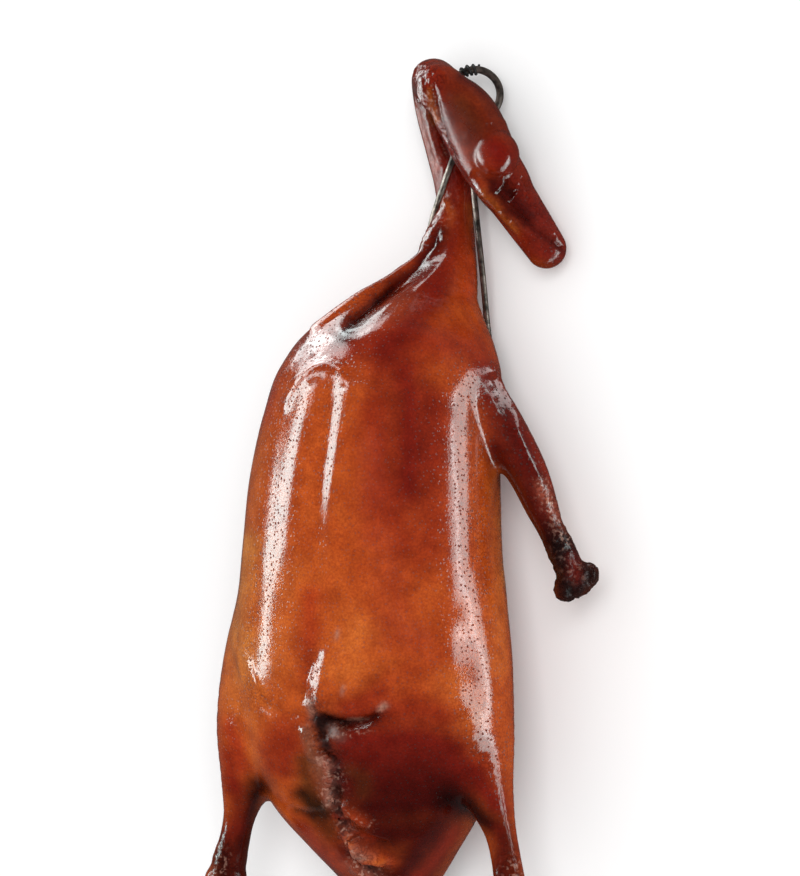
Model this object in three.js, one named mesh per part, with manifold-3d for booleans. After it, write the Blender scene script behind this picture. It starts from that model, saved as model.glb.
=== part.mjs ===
// A whole roast duck lying on its back with the steel hook that it was roasted on.
// Millimetres. +Y runs to the neck, +Z to the breast, +X to the duck's left side.
// The origin is on the small flat that the back rests on.
// The duck is one solid: a field that is negative inside it is built from named parts,
// blended where flesh runs into flesh, and its zero surface is meshed on a fitted lattice.
// The hook is one solid of bent round steel: an eye, a short shank and two prongs.
import * as THREE from "three";
import { mergeVertices } from "three/addons/utils/BufferGeometryUtils.js";
import Module from "manifold-3d";

const wasm = await Module();
wasm.setup();

// Driving dimensions
const SHOWN_TURN = THREE.MathUtils.degToRad(29); // the shown side is turned this far to the duck's left
const BREAST_DEPTH = 128;
const HIP_HALF_WIDTH = 84;
const NECK_RADIUS = 12.8;
const SKULL = { long: 30, high: 18.6, wide: 17 };
const CHEEK = { long: 27, high: 17, wide: 14 };
const EYE_BULGE = { long: 15, high: 12.6, wide: 12 };
const BILL = { rootRadius: 14.5, tipRadius: 11.8, flat: 0.76 };
const HEAD_HEIGHT = 57; // of the head's middle, towards the shown side
const SHIN_RADIUS = 9.6;
const WING_WAIST = 8.6;
const WIRE_RADIUS = 1.8;
const EYE_WIRE_RADIUS = 2.3;
const EYE_RING_RADIUS = 14.7;
const HOOK_HEIGHT = 38.2; // of the hook's eye, towards the shown side, between neck and head
const CLEARANCE = 0.4; // between the steel and the flesh that it presses into
const FILLET = { neck: 24, leg: 10, wing: 9, head: 5, cheek: 9, bill: 7, eye: 2.5 };

// Lattice of the duck's surface
const COLUMNS = 27;
const LAYERS = 14;
const BODY_STEP = 8.6;
const HEAD_STEP = 5;
const HEAD_FROM = 176;
const DUCK_ENDS = { tail: -206, crown: 326 };

// Cross-sections of the trunk along Y: half width, height of the widest line,
// lowest and highest height, and how far the middle stands to the duck's left.
const TRUNK = [
  { y: -200, half: 2.5, wideAt: 38, low: 35.5, top: 41, shift: 1 },
  { y: -193, half: 11, wideAt: 38, low: 28, top: 48, shift: 1 },
  { y: -180, half: 20, wideAt: 40, low: 24, top: 57, shift: 1 },
  { y: -163, half: 33, wideAt: 45, low: 21, top: 72, shift: 1 },
  { y: -147, half: 46, wideAt: 50, low: 17, top: 86, shift: 0 },
  { y: -129, half: 60, wideAt: 56, low: 11, top: 98, shift: -1 },
  { y: -105, half: 73, wideAt: 61, low: 4, top: 110, shift: -2 },
  { y: -75, half: 81, wideAt: 65, low: 0, top: 121, shift: -2 },
  { y: -40, half: HIP_HALF_WIDTH, wideAt: 66, low: -1.5, top: BREAST_DEPTH, shift: -1 },
  { y: 0, half: 81, wideAt: 65, low: -1.5, top: BREAST_DEPTH + 1, shift: -1 },
  { y: 35, half: 78, wideAt: 63, low: -1.5, top: BREAST_DEPTH, shift: -1 },
  { y: 75, half: 75, wideAt: 60, low: -1, top: BREAST_DEPTH - 2, shift: 0 },
  { y: 110, half: 71, wideAt: 52, low: 0, top: 119, shift: 1 },
  { y: 138, half: 66, wideAt: 45, low: 3, top: 107, shift: 3 },
  { y: 160, half: 50, wideAt: 42, low: 8, top: 90, shift: 4 },
  { y: 174, half: 29, wideAt: 40, low: 17, top: 68, shift: 5 },
  { y: 183, half: 4, wideAt: 40, low: 36, top: 45, shift: 6 },
];
const TRUNK_ROUND = 2.1; // exponent of the cross-section, 2 being an ellipse

// Spines: x, y, z of the middle and the radius there.
const NECK = [
  [8, 122, 46, 42],
  [17, 160, 37, 32],
  [26, 186, 27, 22],
  [32, 212, 19, 16.5],
  [31.5, 229, 16, NECK_RADIUS + 0.7],
  [29, 246, 15, NECK_RADIUS - 0.3],
  [23, 267, 15, NECK_RADIUS],
  [16.5, 290, 16, NECK_RADIUS - 0.2],
  [17, 303, 22, NECK_RADIUS - 0.4],
  [24, 306, 34, NECK_RADIUS - 0.2],
  [35, 300, 46, NECK_RADIUS + 1],
];
const LEFT_LEG = [
  [50, 4, 62, 28],
  [57, -35, 67, 30],
  [67, -72, 70, 26],
  [79, -106, 71, 15.2],
  [87, -130, 70, SHIN_RADIUS - 0.4],
  [91, -147, 70, SHIN_RADIUS - 1],
  [93, -158, 70, SHIN_RADIUS - 0.2],
  [95, -169, 70, SHIN_RADIUS + 0.8],
];
const RIGHT_LEG = [
  [-53, 4, 62, 29],
  [-63, -35, 67, 31],
  [-71, -72, 71, 27.5],
  [-81, -106, 72, 16],
  [-88, -130, 70, SHIN_RADIUS],
  [-92, -147, 70, SHIN_RADIUS - 0.4],
  [-95, -158, 70, SHIN_RADIUS + 1.6],
  [-97, -169, 70, SHIN_RADIUS + 2.4],
];
const SPREAD_WING = [
  [48, 128, 50, 20],
  [71, 107, 48, 17.5],
  [91, 76, 44, 12.3],
  [99, 56, 42, 9.9],
  [105, 42, 41, WING_WAIST],
  [113, 26, 39, WING_WAIST + 1.6],
  [119, 13, 38, WING_WAIST + 3.4],
];
const FOLDED_WING = [
  [-48, 126, 50, 21],
  [-72, 103, 37, 17],
  [-86, 73, 25, 12],
  [-91, 52, 18, 9.9],
  [-93, 37, 15, WING_WAIST],
  [-93, 20, 14, WING_WAIST + 1.2],
  [-92, 6, 14.5, WING_WAIST + 2.8],
];

// The shown side's own directions: across it to the duck's left, and straight out of it.
const ACROSS = new THREE.Vector3(Math.cos(SHOWN_TURN), 0, -Math.sin(SHOWN_TURN));
const OUT = new THREE.Vector3(Math.sin(SHOWN_TURN), 0, Math.cos(SHOWN_TURN));

/** The place that is `across` and `out` on the shown side at the length `y`. */
function shown(across, y, out) {
  return new THREE.Vector3(0, y, 0).addScaledVector(ACROSS, across).addScaledVector(OUT, out);
}

// Fields: each is a function of a point, negative inside, near a distance in millimetres.

/** Smooth minimum: two fields joined with a fillet about as wide as `fillet`. */
function blend(a, b, fillet) {
  const near = Math.max(fillet - Math.abs(a - b), 0) / fillet;
  return Math.min(a, b) - (near * near * fillet) / 4;
}

/** A value that rises from 0 at `from` to 1 at `to` without a corner. */
function rise(from, to, value) {
  return THREE.MathUtils.smoothstep(value, from, to);
}

const trunkAlong = new THREE.CubicInterpolant(
  TRUNK.map((s) => s.y),
  TRUNK.flatMap((s) => [s.half, s.wideAt, s.low, s.top, s.shift]),
  5,
);

/** The trunk: superellipses whose halves above and below the widest line differ. */
function trunkField(p) {
  const y = THREE.MathUtils.clamp(p.y, TRUNK[0].y, TRUNK.at(-1).y);
  const [half, wideAt, low, top, shift] = trunkAlong.evaluate(y);
  const depth = Math.max(p.z > wideAt ? top - wideAt : wideAt - low, 2);
  const width = Math.max(half, 2);
  const across = Math.abs(p.x - shift) / width;
  const up = Math.abs(p.z - wideAt) / depth;
  const gauge = (across ** TRUNK_ROUND + up ** TRUNK_ROUND) ** (1 / TRUNK_ROUND);
  return (gauge - 1) * Math.min(width, depth) + Math.abs(p.y - y);
}

/** A round limb along a smooth spine: the distance to the spine less the radius there. */
function limbField(spine, finer = 5) {
  const curve = new THREE.CatmullRomCurve3(spine.map(([x, y, z]) => new THREE.Vector3(x, y, z)));
  const radii = new THREE.CubicInterpolant(
    spine.map((_, i) => i),
    spine.map((s) => s[3]),
    1,
  );
  const last = spine.length - 1;
  const stops = Array.from({ length: last * finer + 1 }, (_, i) => {
    const along = i / finer;
    return { at: curve.getPoint(along / last), radius: radii.evaluate(along)[0] };
  });
  const leg = new THREE.Vector3();
  const rel = new THREE.Vector3();
  return (p) => {
    let nearest = Infinity;
    for (let i = 1; i < stops.length; i++) {
      const a = stops[i - 1];
      const b = stops[i];
      leg.subVectors(b.at, a.at);
      rel.subVectors(p, a.at);
      const t = THREE.MathUtils.clamp(rel.dot(leg) / leg.lengthSq(), 0, 1);
      rel.addScaledVector(leg, -t);
      nearest = Math.min(nearest, rel.length() - THREE.MathUtils.lerp(a.radius, b.radius, t));
    }
    return nearest;
  };
}

/** An ellipsoid at `centre` with three axes at right angles and their half lengths. */
function ellipsoidField(centre, axes, halves) {
  const rel = new THREE.Vector3();
  return (p) => {
    rel.subVectors(p, centre);
    const q = axes.map((axis) => rel.dot(axis));
    const k0 = Math.hypot(...q.map((v, i) => v / halves[i]));
    const k1 = Math.hypot(...q.map((v, i) => v / halves[i] ** 2));
    return k1 > 1e-9 ? (k0 * (k0 - 1)) / k1 : -Math.min(...halves);
  };
}

// The head lies on its right cheek over the folded neck, its bill down and to the left.
const BILL_SLOPE = THREE.MathUtils.degToRad(-55.9);
const TO_BILL = shown(Math.cos(BILL_SLOPE), Math.sin(BILL_SLOPE), 0);
const TO_CROWN = shown(-Math.sin(BILL_SLOPE), Math.cos(BILL_SLOPE), 0);
const HEAD_AXES = [TO_BILL, TO_CROWN, OUT];
const SKULL_AT = shown(25.4, 280.4, HEAD_HEIGHT);
const CHEEK_AT = shown(36.8, 256.4, HEAD_HEIGHT);
const EYE_AT = [41, 261.2];
const EYE_STANDS = 6.5;
const NOSE_HOLLOW = { at: shown(53.2, 235.8, HEAD_HEIGHT + 13), depth: 3.2, width: 9.5 };

/** The bill: a flattened tapering limb with a round tip. */
function billField() {
  const root = shown(47.4, 239.9, HEAD_HEIGHT);
  const tip = shown(71.4, 206.5, HEAD_HEIGHT + 1);
  const length = root.distanceTo(tip);
  const rel = new THREE.Vector3();
  return (p) => {
    rel.subVectors(p, root);
    const t = THREE.MathUtils.clamp(rel.dot(TO_BILL) / length, 0, 1);
    const radius = THREE.MathUtils.lerp(BILL.rootRadius, BILL.tipRadius, t);
    const out = rel.dot(OUT) - t * (tip.dot(OUT) - root.dot(OUT));
    const beyond = rel.dot(TO_BILL) - t * length;
    return (Math.hypot(out / BILL.flat, rel.dot(TO_CROWN), beyond) - radius) * BILL.flat;
  };
}

/** The head with its cheeks, bill, shut bulging eyes and the hollows by the nostrils. */
function headField() {
  const skull = ellipsoidField(SKULL_AT, HEAD_AXES, Object.values(SKULL));
  const cheek = ellipsoidField(CHEEK_AT, HEAD_AXES, Object.values(CHEEK));
  const eyes = [1, -1].map((side) => {
    const at = shown(...EYE_AT, HEAD_HEIGHT + side * EYE_STANDS);
    return ellipsoidField(at, HEAD_AXES, Object.values(EYE_BULGE));
  });
  const bill = billField();
  return (p) => {
    let f = blend(skull(p), cheek(p), FILLET.cheek);
    f = blend(f, bill(p), FILLET.bill);
    f += NOSE_HOLLOW.depth * Math.exp(-((NOSE_HOLLOW.at.distanceTo(p) / NOSE_HOLLOW.width) ** 2));
    return eyes.reduce((sum, eye) => blend(sum, eye(p), FILLET.eye), f);
  };
}

/** Distance from the place (a, b) to a drawn line of [a, b] points, and how far along it. */
function lineReach(line, a, b) {
  let best = Infinity;
  let share = 0;
  for (let i = 1; i < line.length; i++) {
    const [a0, b0] = line[i - 1];
    const [a1, b1] = line[i];
    const run = (a1 - a0) ** 2 + (b1 - b0) ** 2;
    const t = THREE.MathUtils.clamp(((a - a0) * (a1 - a0) + (b - b0) * (b1 - b0)) / run, 0, 1);
    const away = Math.hypot(a - a0 - t * (a1 - a0), b - b0 - t * (b1 - b0));
    if (away < best) {
      best = away;
      share = (i - 1 + t) / (line.length - 1);
    }
  }
  return { away: best, share };
}

/** A dent along a drawn line, deepest mid-way and fading out over its width. */
function dent({ line, width, depth }, a, b) {
  const { away, share } = lineReach(line, a, b);
  const fade = rise(0, 0.15, share) * (1 - 0.8 * rise(0.8, 1, share));
  return depth * fade * Math.exp(-((away / width) ** 2));
}

// Lines drawn on the shown side as [across, y]: the hollow between the two skin ridges that
// run from the neck to the right shoulder, and the breastbone's crease.
const SHOULDER_HOLLOW = {
  line: [[4, 212], [-12, 192], [-30, 173], [-50, 152]],
  width: 7,
  depth: 9,
};
const KEEL_CREASE = { line: [[-60, 140], [-62, 60], [-62, -50]], width: 5, depth: 1.6 };
// Lines drawn from above as [x, y]: the sewn belly seam and the folds that its stitches pull.
const BELLY_SEAM = {
  line: [[-1, -50], [0, -72], [2, -104], [3, -122], [7, -146], [13, -166]],
  width: 6,
  depth: 6,
};
const STITCH_PITCH = 21.4;
const SEAM_FOLDS = [
  [[2, -64], [20, -60], [34, -58]],
  [[4, -56], [22, -44], [40, -32]],
  [[-3, -60], [-18, -55], [-36, -50]],
].map((line) => ({ line, width: 5, depth: 3.4 }));

/** The creases and hollows that show in the skin, as what they take off the flesh. */
function skinRelief(p) {
  const across = p.dot(ACROSS);
  const front = rise(30, 55, p.dot(OUT));
  const belly = rise(60, 80, p.z);
  const stitched = 0.75 + 0.25 * Math.cos((2 * Math.PI * p.y) / STITCH_PITCH);
  let cut = front * dent(SHOULDER_HOLLOW, across, p.y);
  cut += belly * dent(KEEL_CREASE, across, p.y);
  cut += belly * stitched * dent(BELLY_SEAM, p.x, p.y);
  for (const fold of SEAM_FOLDS) cut += belly * dent(fold, p.x, p.y);
  return cut;
}

const neck = limbField(NECK);
const leftLeg = limbField(LEFT_LEG);
const rightLeg = limbField(RIGHT_LEG);
const leftWing = limbField(SPREAD_WING);
const rightWing = limbField(FOLDED_WING);
const head = headField();

/** The whole duck. */
function duckField(p) {
  let f = blend(trunkField(p), neck(p), FILLET.neck);
  f += skinRelief(p);
  f = blend(f, leftLeg(p), FILLET.leg);
  f = blend(f, rightLeg(p), FILLET.leg);
  f = blend(f, leftWing(p), FILLET.wing);
  f = blend(f, rightWing(p), FILLET.wing);
  return blend(f, head(p), FILLET.head);
}

// Lattice: box-shaped cells whose rows narrow towards the head, so that the small forms there
// get small cells. At each place along Y: the left and right ends, the top, and how much closer
// the columns stand at the ends, where the limbs are.
const latticeAlong = new THREE.LinearInterpolant(
  [-206, -105, -60, 150, 196, 330],
  [
    [-116, 116, 92, 0.4],
    [-116, 116, 134, 0.4],
    [-106, 136, 136, 0.4],
    [-106, 136, 126, 0.4],
    [-8, 116, 76, 0],
    [-8, 116, 74, 0],
  ].flat(),
  4,
);
const LATTICE_FLOOR = -8;

function latticeRows() {
  const rows = [];
  for (let y = DUCK_ENDS.tail; y < HEAD_FROM; y += BODY_STEP) rows.push(y);
  for (let y = HEAD_FROM; y <= DUCK_ENDS.crown; y += HEAD_STEP) rows.push(y);
  return rows;
}

/** Moves a point onto the zero surface along the field's slope, by at most `limit`. */
function settle(field, p, limit) {
  const step = 0.4;
  const probe = new THREE.Vector3();
  const slope = new THREE.Vector3();
  const start = p.clone();
  for (let pass = 0; pass < 4; pass++) {
    for (const axis of ["x", "y", "z"]) {
      probe.copy(p)[axis] += step;
      const ahead = field(probe);
      probe.copy(p)[axis] -= step;
      slope[axis] = (ahead - field(probe)) / (2 * step);
    }
    p.addScaledVector(slope, -field(p) / Math.max(slope.lengthSq(), 0.05));
    p.sub(start).clampLength(0, limit).add(start);
  }
  return p;
}

/** The groups of a cell's inner corners that meet along its edges, and -1 at the outer ones. */
function innerGroups(isIn) {
  const group = isIn.map((inside, c) => (inside ? c : -1));
  for (let pass = 0; pass < 3; pass++)
    for (let c = 0; c < 8; c++)
      for (let axis = 0; axis < 3; axis++) {
        const other = c ^ (1 << axis);
        if (group[c] >= 0 && group[other] > group[c]) group[other] = group[c];
      }
  return group;
}

/**
 * The zero surface of a field. Each cell that it crosses gets a vertex, or two where two
 * sheets pass through the cell, and each lattice edge that it crosses gets a quad.
 */
function surfaceOf(field) {
  const rows = latticeRows();
  const size = [COLUMNS + 1, rows.length, LAYERS + 1];
  const index = (i, j, k) => (i * size[1] + j) * size[2] + k;
  const nodes = [];
  const values = [];
  for (let i = 0; i < size[0]; i++)
    for (const y of rows) {
      const [left, right, top, closer] = latticeAlong.evaluate(y);
      const side = (2 * i) / COLUMNS - 1;
      const column = side * (1 + closer * (1 - Math.abs(side)));
      for (let k = 0; k < size[2]; k++) {
        const x = THREE.MathUtils.lerp(left, right, (1 + column) / 2);
        const z = THREE.MathUtils.lerp(LATTICE_FLOOR, top, k / LAYERS);
        const node = new THREE.Vector3(x, y, z);
        nodes.push(node);
        values.push(field(node));
      }
    }
  const steps = [index(1, 0, 0), index(0, 1, 0), index(0, 0, 1)];
  const cells = [];
  for (let i = 0; i < size[0] - 1; i++)
    for (let j = 0; j < size[1] - 1; j++)
      for (let k = 0; k < size[2] - 1; k++) cells.push([i, j, k]);
  const cornerStep = (c) => steps.reduce((sum, step, axis) => sum + ((c >> axis) & 1) * step, 0);
  const corners = Array.from({ length: 8 }, (_, c) => cornerStep(c));

  const vertices = [];
  const vertexOf = new Map();
  for (const place of cells) {
    const cell = index(...place);
    const isIn = corners.map((step) => values[cell + step] < 0);
    if (isIn.every((side) => side === isIn[0])) continue;
    const group = innerGroups(isIn);
    const crossings = new Map();
    for (let c = 0; c < 8; c++)
      for (let axis = 0; axis < 3; axis++) {
        const other = c ^ (1 << axis);
        if (other < c || isIn[c] === isIn[other]) continue;
        const [a, b] = [cell + corners[c], cell + corners[other]];
        const at = new THREE.Vector3();
        at.lerpVectors(nodes[a], nodes[b], values[a] / (values[a] - values[b]));
        const sheet = Math.max(group[c], group[other]);
        if (!crossings.has(sheet)) crossings.set(sheet, []);
        crossings.get(sheet).push(at);
      }
    const reach = nodes[cell].distanceTo(nodes[cell + corners[7]]) * 0.3;
    for (const [sheet, found] of crossings) {
      const middle = found.reduce((sum, at) => sum.add(at), new THREE.Vector3());
      group.forEach((g, c) => {
        if (g === sheet) vertexOf.set(cell * 8 + c, vertices.length);
      });
      vertices.push(settle(field, middle.divideScalar(found.length), reach));
    }
  }

  const faces = [];
  for (const place of cells)
    for (let axis = 0; axis < 3; axis++) {
      const a = index(...place);
      if (place.some((n, other) => n === 0 && other !== axis)) continue;
      const inside = values[a] < 0;
      if (inside === values[a + steps[axis]] < 0) continue;
      const [u, v] = [(axis + 1) % 3, (axis + 2) % 3];
      const around = [[1, 1], [0, 1], [0, 0], [1, 0]];
      const quad = around.map(([du, dv]) => {
        const cell = a - du * steps[u] - dv * steps[v];
        const corner = (du << u) | (dv << v) | (inside ? 0 : 1 << axis);
        return vertexOf.get(cell * 8 + corner);
      });
      if (!inside) quad.reverse();
      const [p, q, r, s] = quad.map((n) => vertices[n]);
      if (p.distanceToSquared(r) < q.distanceToSquared(s))
        faces.push(quad[0], quad[1], quad[2], quad[0], quad[2], quad[3]);
      else faces.push(quad[1], quad[2], quad[3], quad[1], quad[3], quad[0]);
    }
  const geometry = new THREE.BufferGeometry().setFromPoints(vertices);
  return geometry.setIndex(faces);
}

// Solids

/** A closed geometry as a solid that can be joined and cut. */
function solid(geometry) {
  const bare = geometry.clone();
  for (const name of ["normal", "uv"]) bare.deleteAttribute(name);
  const merged = mergeVertices(bare, 1e-4);
  return new wasm.Manifold(
    new wasm.Mesh({
      numProp: 3,
      vertProperties: new Float32Array(merged.attributes.position.array),
      triVerts: new Uint32Array(merged.index.array),
    }),
  );
}

function geometryOf(made) {
  const { vertProperties, triVerts } = made.getMesh();
  const geometry = new THREE.BufferGeometry();
  geometry.setAttribute("position", new THREE.BufferAttribute(vertProperties, 3));
  geometry.setIndex(new THREE.BufferAttribute(triVerts, 1));
  return geometry;
}

/** The largest of a solid's separate bodies. */
function largest(made) {
  return made.decompose().reduce((a, b) => (a.volume() > b.volume() ? a : b));
}

/** Round steel of one radius along a list of points. */
function rod(points, radius, steps, sides = 8) {
  const path = new THREE.CatmullRomCurve3(points, false, "centripetal");
  const outline = Array.from({ length: sides }, (_, i) => {
    const turn = (2 * Math.PI * i) / sides;
    return new THREE.Vector2(radius * Math.cos(turn), radius * Math.sin(turn));
  });
  const shape = new THREE.Shape(outline);
  return solid(new THREE.ExtrudeGeometry(shape, { steps, bevelEnabled: false, extrudePath: path }));
}

// The hook. Its eye lies parallel to the shown side.
const EYE_MIDDLE = { across: 29.2, y: 297.8 };
const SHANK_END = [25, 278];
const LEFT_PRONG = [
  shown(SHANK_END[0], SHANK_END[1] + 6, HOOK_HEIGHT),
  shown(25.5, 268, HOOK_HEIGHT),
  shown(28.7, 241, 37),
  shown(33, 195, 36.5),
  new THREE.Vector3(51, 146, 12.5),
  new THREE.Vector3(58, 112, 8.5),
  new THREE.Vector3(66, 90, 10),
  new THREE.Vector3(74, 81, 18),
  new THREE.Vector3(77, 83, 27),
];
const RIGHT_PRONG = [
  shown(SHANK_END[0] - 1, SHANK_END[1] + 6, HOOK_HEIGHT),
  shown(21, 268, HOOK_HEIGHT + 0.6),
  shown(11.1, 252.7, 39.5),
  shown(5, 229, 28.5),
  shown(-1.5, 206, 18),
  new THREE.Vector3(-12, 184, 8.5),
  new THREE.Vector3(-38, 140, 6.5),
  new THREE.Vector3(-56, 110, 7.5),
  new THREE.Vector3(-68, 88, 11),
  new THREE.Vector3(-73, 80, 18),
  new THREE.Vector3(-75, 83, 24),
];

/** The place on the eye's middle line at a turn counted from straight across. */
function eyePoint(turn, radius = EYE_RING_RADIUS) {
  const across = EYE_MIDDLE.across + radius * Math.cos(turn);
  return shown(across, EYE_MIDDLE.y + radius * Math.sin(turn), HOOK_HEIGHT);
}

/** The steel, thicker all round by `extra` for the clearance that it needs in the flesh. */
function hookSolid(extra = 0) {
  const eye = new THREE.TorusGeometry(EYE_RING_RADIUS, EYE_WIRE_RADIUS + extra, 8, 26);
  eye.applyMatrix4(
    new THREE.Matrix4()
      .makeRotationY(SHOWN_TURN)
      .setPosition(shown(EYE_MIDDLE.across, EYE_MIDDLE.y, HOOK_HEIGHT)),
  );
  const wrapTurns = [85, 105, 125, 150, 175].map(THREE.MathUtils.degToRad);
  const wrap = rod(wrapTurns.map((turn) => eyePoint(turn)), EYE_WIRE_RADIUS + 0.7 + extra, 10, 9);
  const foot = eyePoint(THREE.MathUtils.degToRad(-102));
  const shank = rod([foot, shown(...SHANK_END, HOOK_HEIGHT)], EYE_WIRE_RADIUS + 0.4 + extra, 3, 9);
  const prongs = [LEFT_PRONG, RIGHT_PRONG].map((path) => rod(path, WIRE_RADIUS + extra, 34, 7));
  return [wrap, shank, ...prongs].reduce((sum, piece) => sum.add(piece), solid(eye));
}

/** The duck: its surface, flat where it rests and hollowed where the steel presses in. */
function duckSolid() {
  const table = new THREE.BoxGeometry(400, 700, 40).translate(0, 0, -20);
  const flesh = solid(surfaceOf(duckField)).subtract(solid(table));
  return largest(flesh.subtract(hookSolid(CLEARANCE)));
}

/** A named piece in its own finish. */
function piece(name, made, finish) {
  const mesh = new THREE.Mesh(geometryOf(made), new THREE.MeshStandardMaterial(finish));
  mesh.name = name;
  return mesh;
}

const roastDuck = new THREE.Group();
roastDuck.add(
  piece("duck", duckSolid(), { color: 0xa8441a, roughness: 0.28, metalness: 0 }),
  piece("hook", hookSolid(), { color: 0x4a4442, roughness: 0.35, metalness: 0.9 }),
);
export default roastDuck;
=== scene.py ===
"""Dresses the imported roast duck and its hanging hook, and sets up the studio and the camera.

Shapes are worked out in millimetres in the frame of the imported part: +Y runs to the neck, +Z to
the breast and +X to the duck's left side. They become metres when a mesh is made.
"""

import logging
import math
from collections.abc import Callable
from dataclasses import dataclass, field
from enum import Enum

import bpy
import numpy as np
from mathutils import Matrix


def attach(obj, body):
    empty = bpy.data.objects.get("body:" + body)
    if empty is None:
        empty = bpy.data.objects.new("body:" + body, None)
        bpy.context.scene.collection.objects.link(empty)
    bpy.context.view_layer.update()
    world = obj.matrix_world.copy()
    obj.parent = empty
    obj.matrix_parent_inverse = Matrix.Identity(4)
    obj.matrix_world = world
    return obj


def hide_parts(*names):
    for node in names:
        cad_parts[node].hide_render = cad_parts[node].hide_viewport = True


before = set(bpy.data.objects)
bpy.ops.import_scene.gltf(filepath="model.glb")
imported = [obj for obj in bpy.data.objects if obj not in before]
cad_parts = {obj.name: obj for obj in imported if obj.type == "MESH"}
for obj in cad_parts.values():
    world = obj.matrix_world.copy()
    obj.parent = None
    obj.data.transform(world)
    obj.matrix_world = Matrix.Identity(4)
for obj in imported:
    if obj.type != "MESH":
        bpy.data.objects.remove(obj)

log = logging.getLogger("roast_duck")
Array = np.ndarray
Field = Callable[[Array], Array]
Line = tuple[tuple[float, float], ...]
Place = tuple[float, float, float]
Colour = tuple[float, float, float, float]
Socket = bpy.types.NodeSocket

MM = 0.001
SHOWN_TURN = math.radians(29.0)
ACROSS = np.array([math.cos(SHOWN_TURN), 0.0, -math.sin(SHOWN_TURN)])
ALONG = np.array([0.0, 1.0, 0.0])
OUT = np.array([math.sin(SHOWN_TURN), 0.0, math.cos(SHOWN_TURN)])
# What a field gives well away from its form, in millimetres
FAR = 60.0


def shown(across: float, y: float, out: float) -> Array:
    """The place in the part's frame that lies `across`, `y` and `out` on the shown side."""
    return across * ACROSS + y * ALONG + out * OUT


# Whole-array helpers


def rise(low: float, high: float, value: Array) -> Array:
    """A value that goes from 0 at `low` to 1 at `high` without a corner: 3t^2 - 2t^3."""
    share = np.clip((value - low) / (high - low), 0.0, 1.0)
    return share * share * (3.0 - 2.0 * share)


def smooth_min(a: Array, b: Array, fillet: float) -> Array:
    """The smaller of two fields, rounded where they differ by less than the fillet.

    Args:
        a: First field's values.
        b: Second field's values.
        fillet: Width of the rounding in millimetres.

    Returns:
        min(a, b) less a quarter of the squared nearness over the fillet.
    """
    near = np.maximum(fillet - np.abs(a - b), 0.0)
    return np.minimum(a, b) - near * near / (4.0 * fillet)


def lattice_value(cells: Array, seed: int) -> Array:
    """A repeatable number from 0 to 1 for each whole-number cell: a large sine's fraction."""
    mixed = cells @ np.array([127.1, 311.7, 74.7]) + 13.7 * seed
    return np.mod(np.sin(mixed) * 43758.5453, 1.0)


def mottle(points: Array, size: float | Place, seed: int) -> Array:
    """Smooth noise from -1 to 1: the eight corner values of a point's cell, mixed softly.

    Args:
        points: Places, one row each.
        size: Width of the patches, one for all directions or one for each.
        seed: Number that picks the pattern.

    Returns:
        One value for each point.
    """
    scaled = points / np.asarray(size)
    low = np.floor(scaled)
    share = scaled - low
    share = share * share * (3.0 - 2.0 * share)
    total = np.zeros(len(points))
    for corner in range(8):
        step = np.array([corner & 1, corner >> 1 & 1, corner >> 2 & 1])
        weight = np.prod(np.where(step == 1, share, 1.0 - share), axis=1)
        total += weight * lattice_value(low + step, seed)
    return 2.0 * total - 1.0


def crumple(points: Array, size: float | Place, seed: int) -> Array:
    """Three sizes of noise on top of each other, each half as wide and half as strong."""
    sizes = np.asarray(size, float)
    return sum(mottle(points, sizes / 2**n, seed + n) / 2**n for n in range(3)) / 1.75


def reach_along(line: Array, a: Array, b: Array) -> tuple[Array, Array, Array]:
    """How places lie to a drawn line.

    Args:
        line: Points of the line, two columns.
        a: First coordinate of each place.
        b: Second coordinate of each place.

    Returns:
        The distance to the nearest stretch, the same with a sign that is positive on the left
        of the line's direction, and the share of the line's length at the nearest spot.
    """
    lengths = np.linalg.norm(np.diff(line, axis=0), axis=1)
    starts = np.concatenate([[0.0], np.cumsum(lengths)])
    away = np.full(len(a), np.inf)
    side = np.zeros(len(a))
    share = np.zeros(len(a))
    for (a0, b0), (a1, b1), length, start in zip(line[:-1], line[1:], lengths, starts):
        run = ((a - a0) * (a1 - a0) + (b - b0) * (b1 - b0)) / length
        run = np.clip(run, 0.0, length)
        off_a = a - a0 - run * (a1 - a0) / length
        off_b = b - b0 - run * (b1 - b0) / length
        here = np.hypot(off_a, off_b)
        turn = (a1 - a0) * off_b - (b1 - b0) * off_a
        nearer = here < away
        away = np.where(nearer, here, away)
        side = np.where(nearer, np.sign(turn) * here, side)
        share = np.where(nearer, (start + run) / starts[-1], share)
    return away, side, share


def smooth_slopes(at: Array, values: Array) -> Array:
    """Slopes at the stops of a smooth curve: the two neighbouring slopes less the wide one."""
    steps = np.diff(at)[:, None]
    chords = np.diff(values, axis=0) / steps
    wide = (values[2:] - values[:-2]) / (steps[1:] + steps[:-1])
    return np.vstack([chords[:1], chords[:-1] + chords[1:] - wide, chords[-1:]])


def smooth_between(at: Array, values: Array, places: Array) -> Array:
    """Values between stops on cubic pieces that share their slopes at the stops.

    Args:
        at: Where the stops are, rising.
        values: The stops' values, one row each.
        places: Where values are asked for.

    Returns:
        One row for each place.
    """
    slopes = smooth_slopes(at, values)
    i = np.clip(np.searchsorted(at, places, side="right") - 1, 0, len(at) - 2)
    width = (at[i + 1] - at[i])[:, None]
    t = ((places - at[i]) / (at[i + 1] - at[i]))[:, None]
    start = values[i] * (1 + 2 * t) * (1 - t) ** 2 + slopes[i] * width * t * (1 - t) ** 2
    end = values[i + 1] * t * t * (3 - 2 * t) + slopes[i + 1] * width * t * t * (t - 1)
    return start + end


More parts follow.
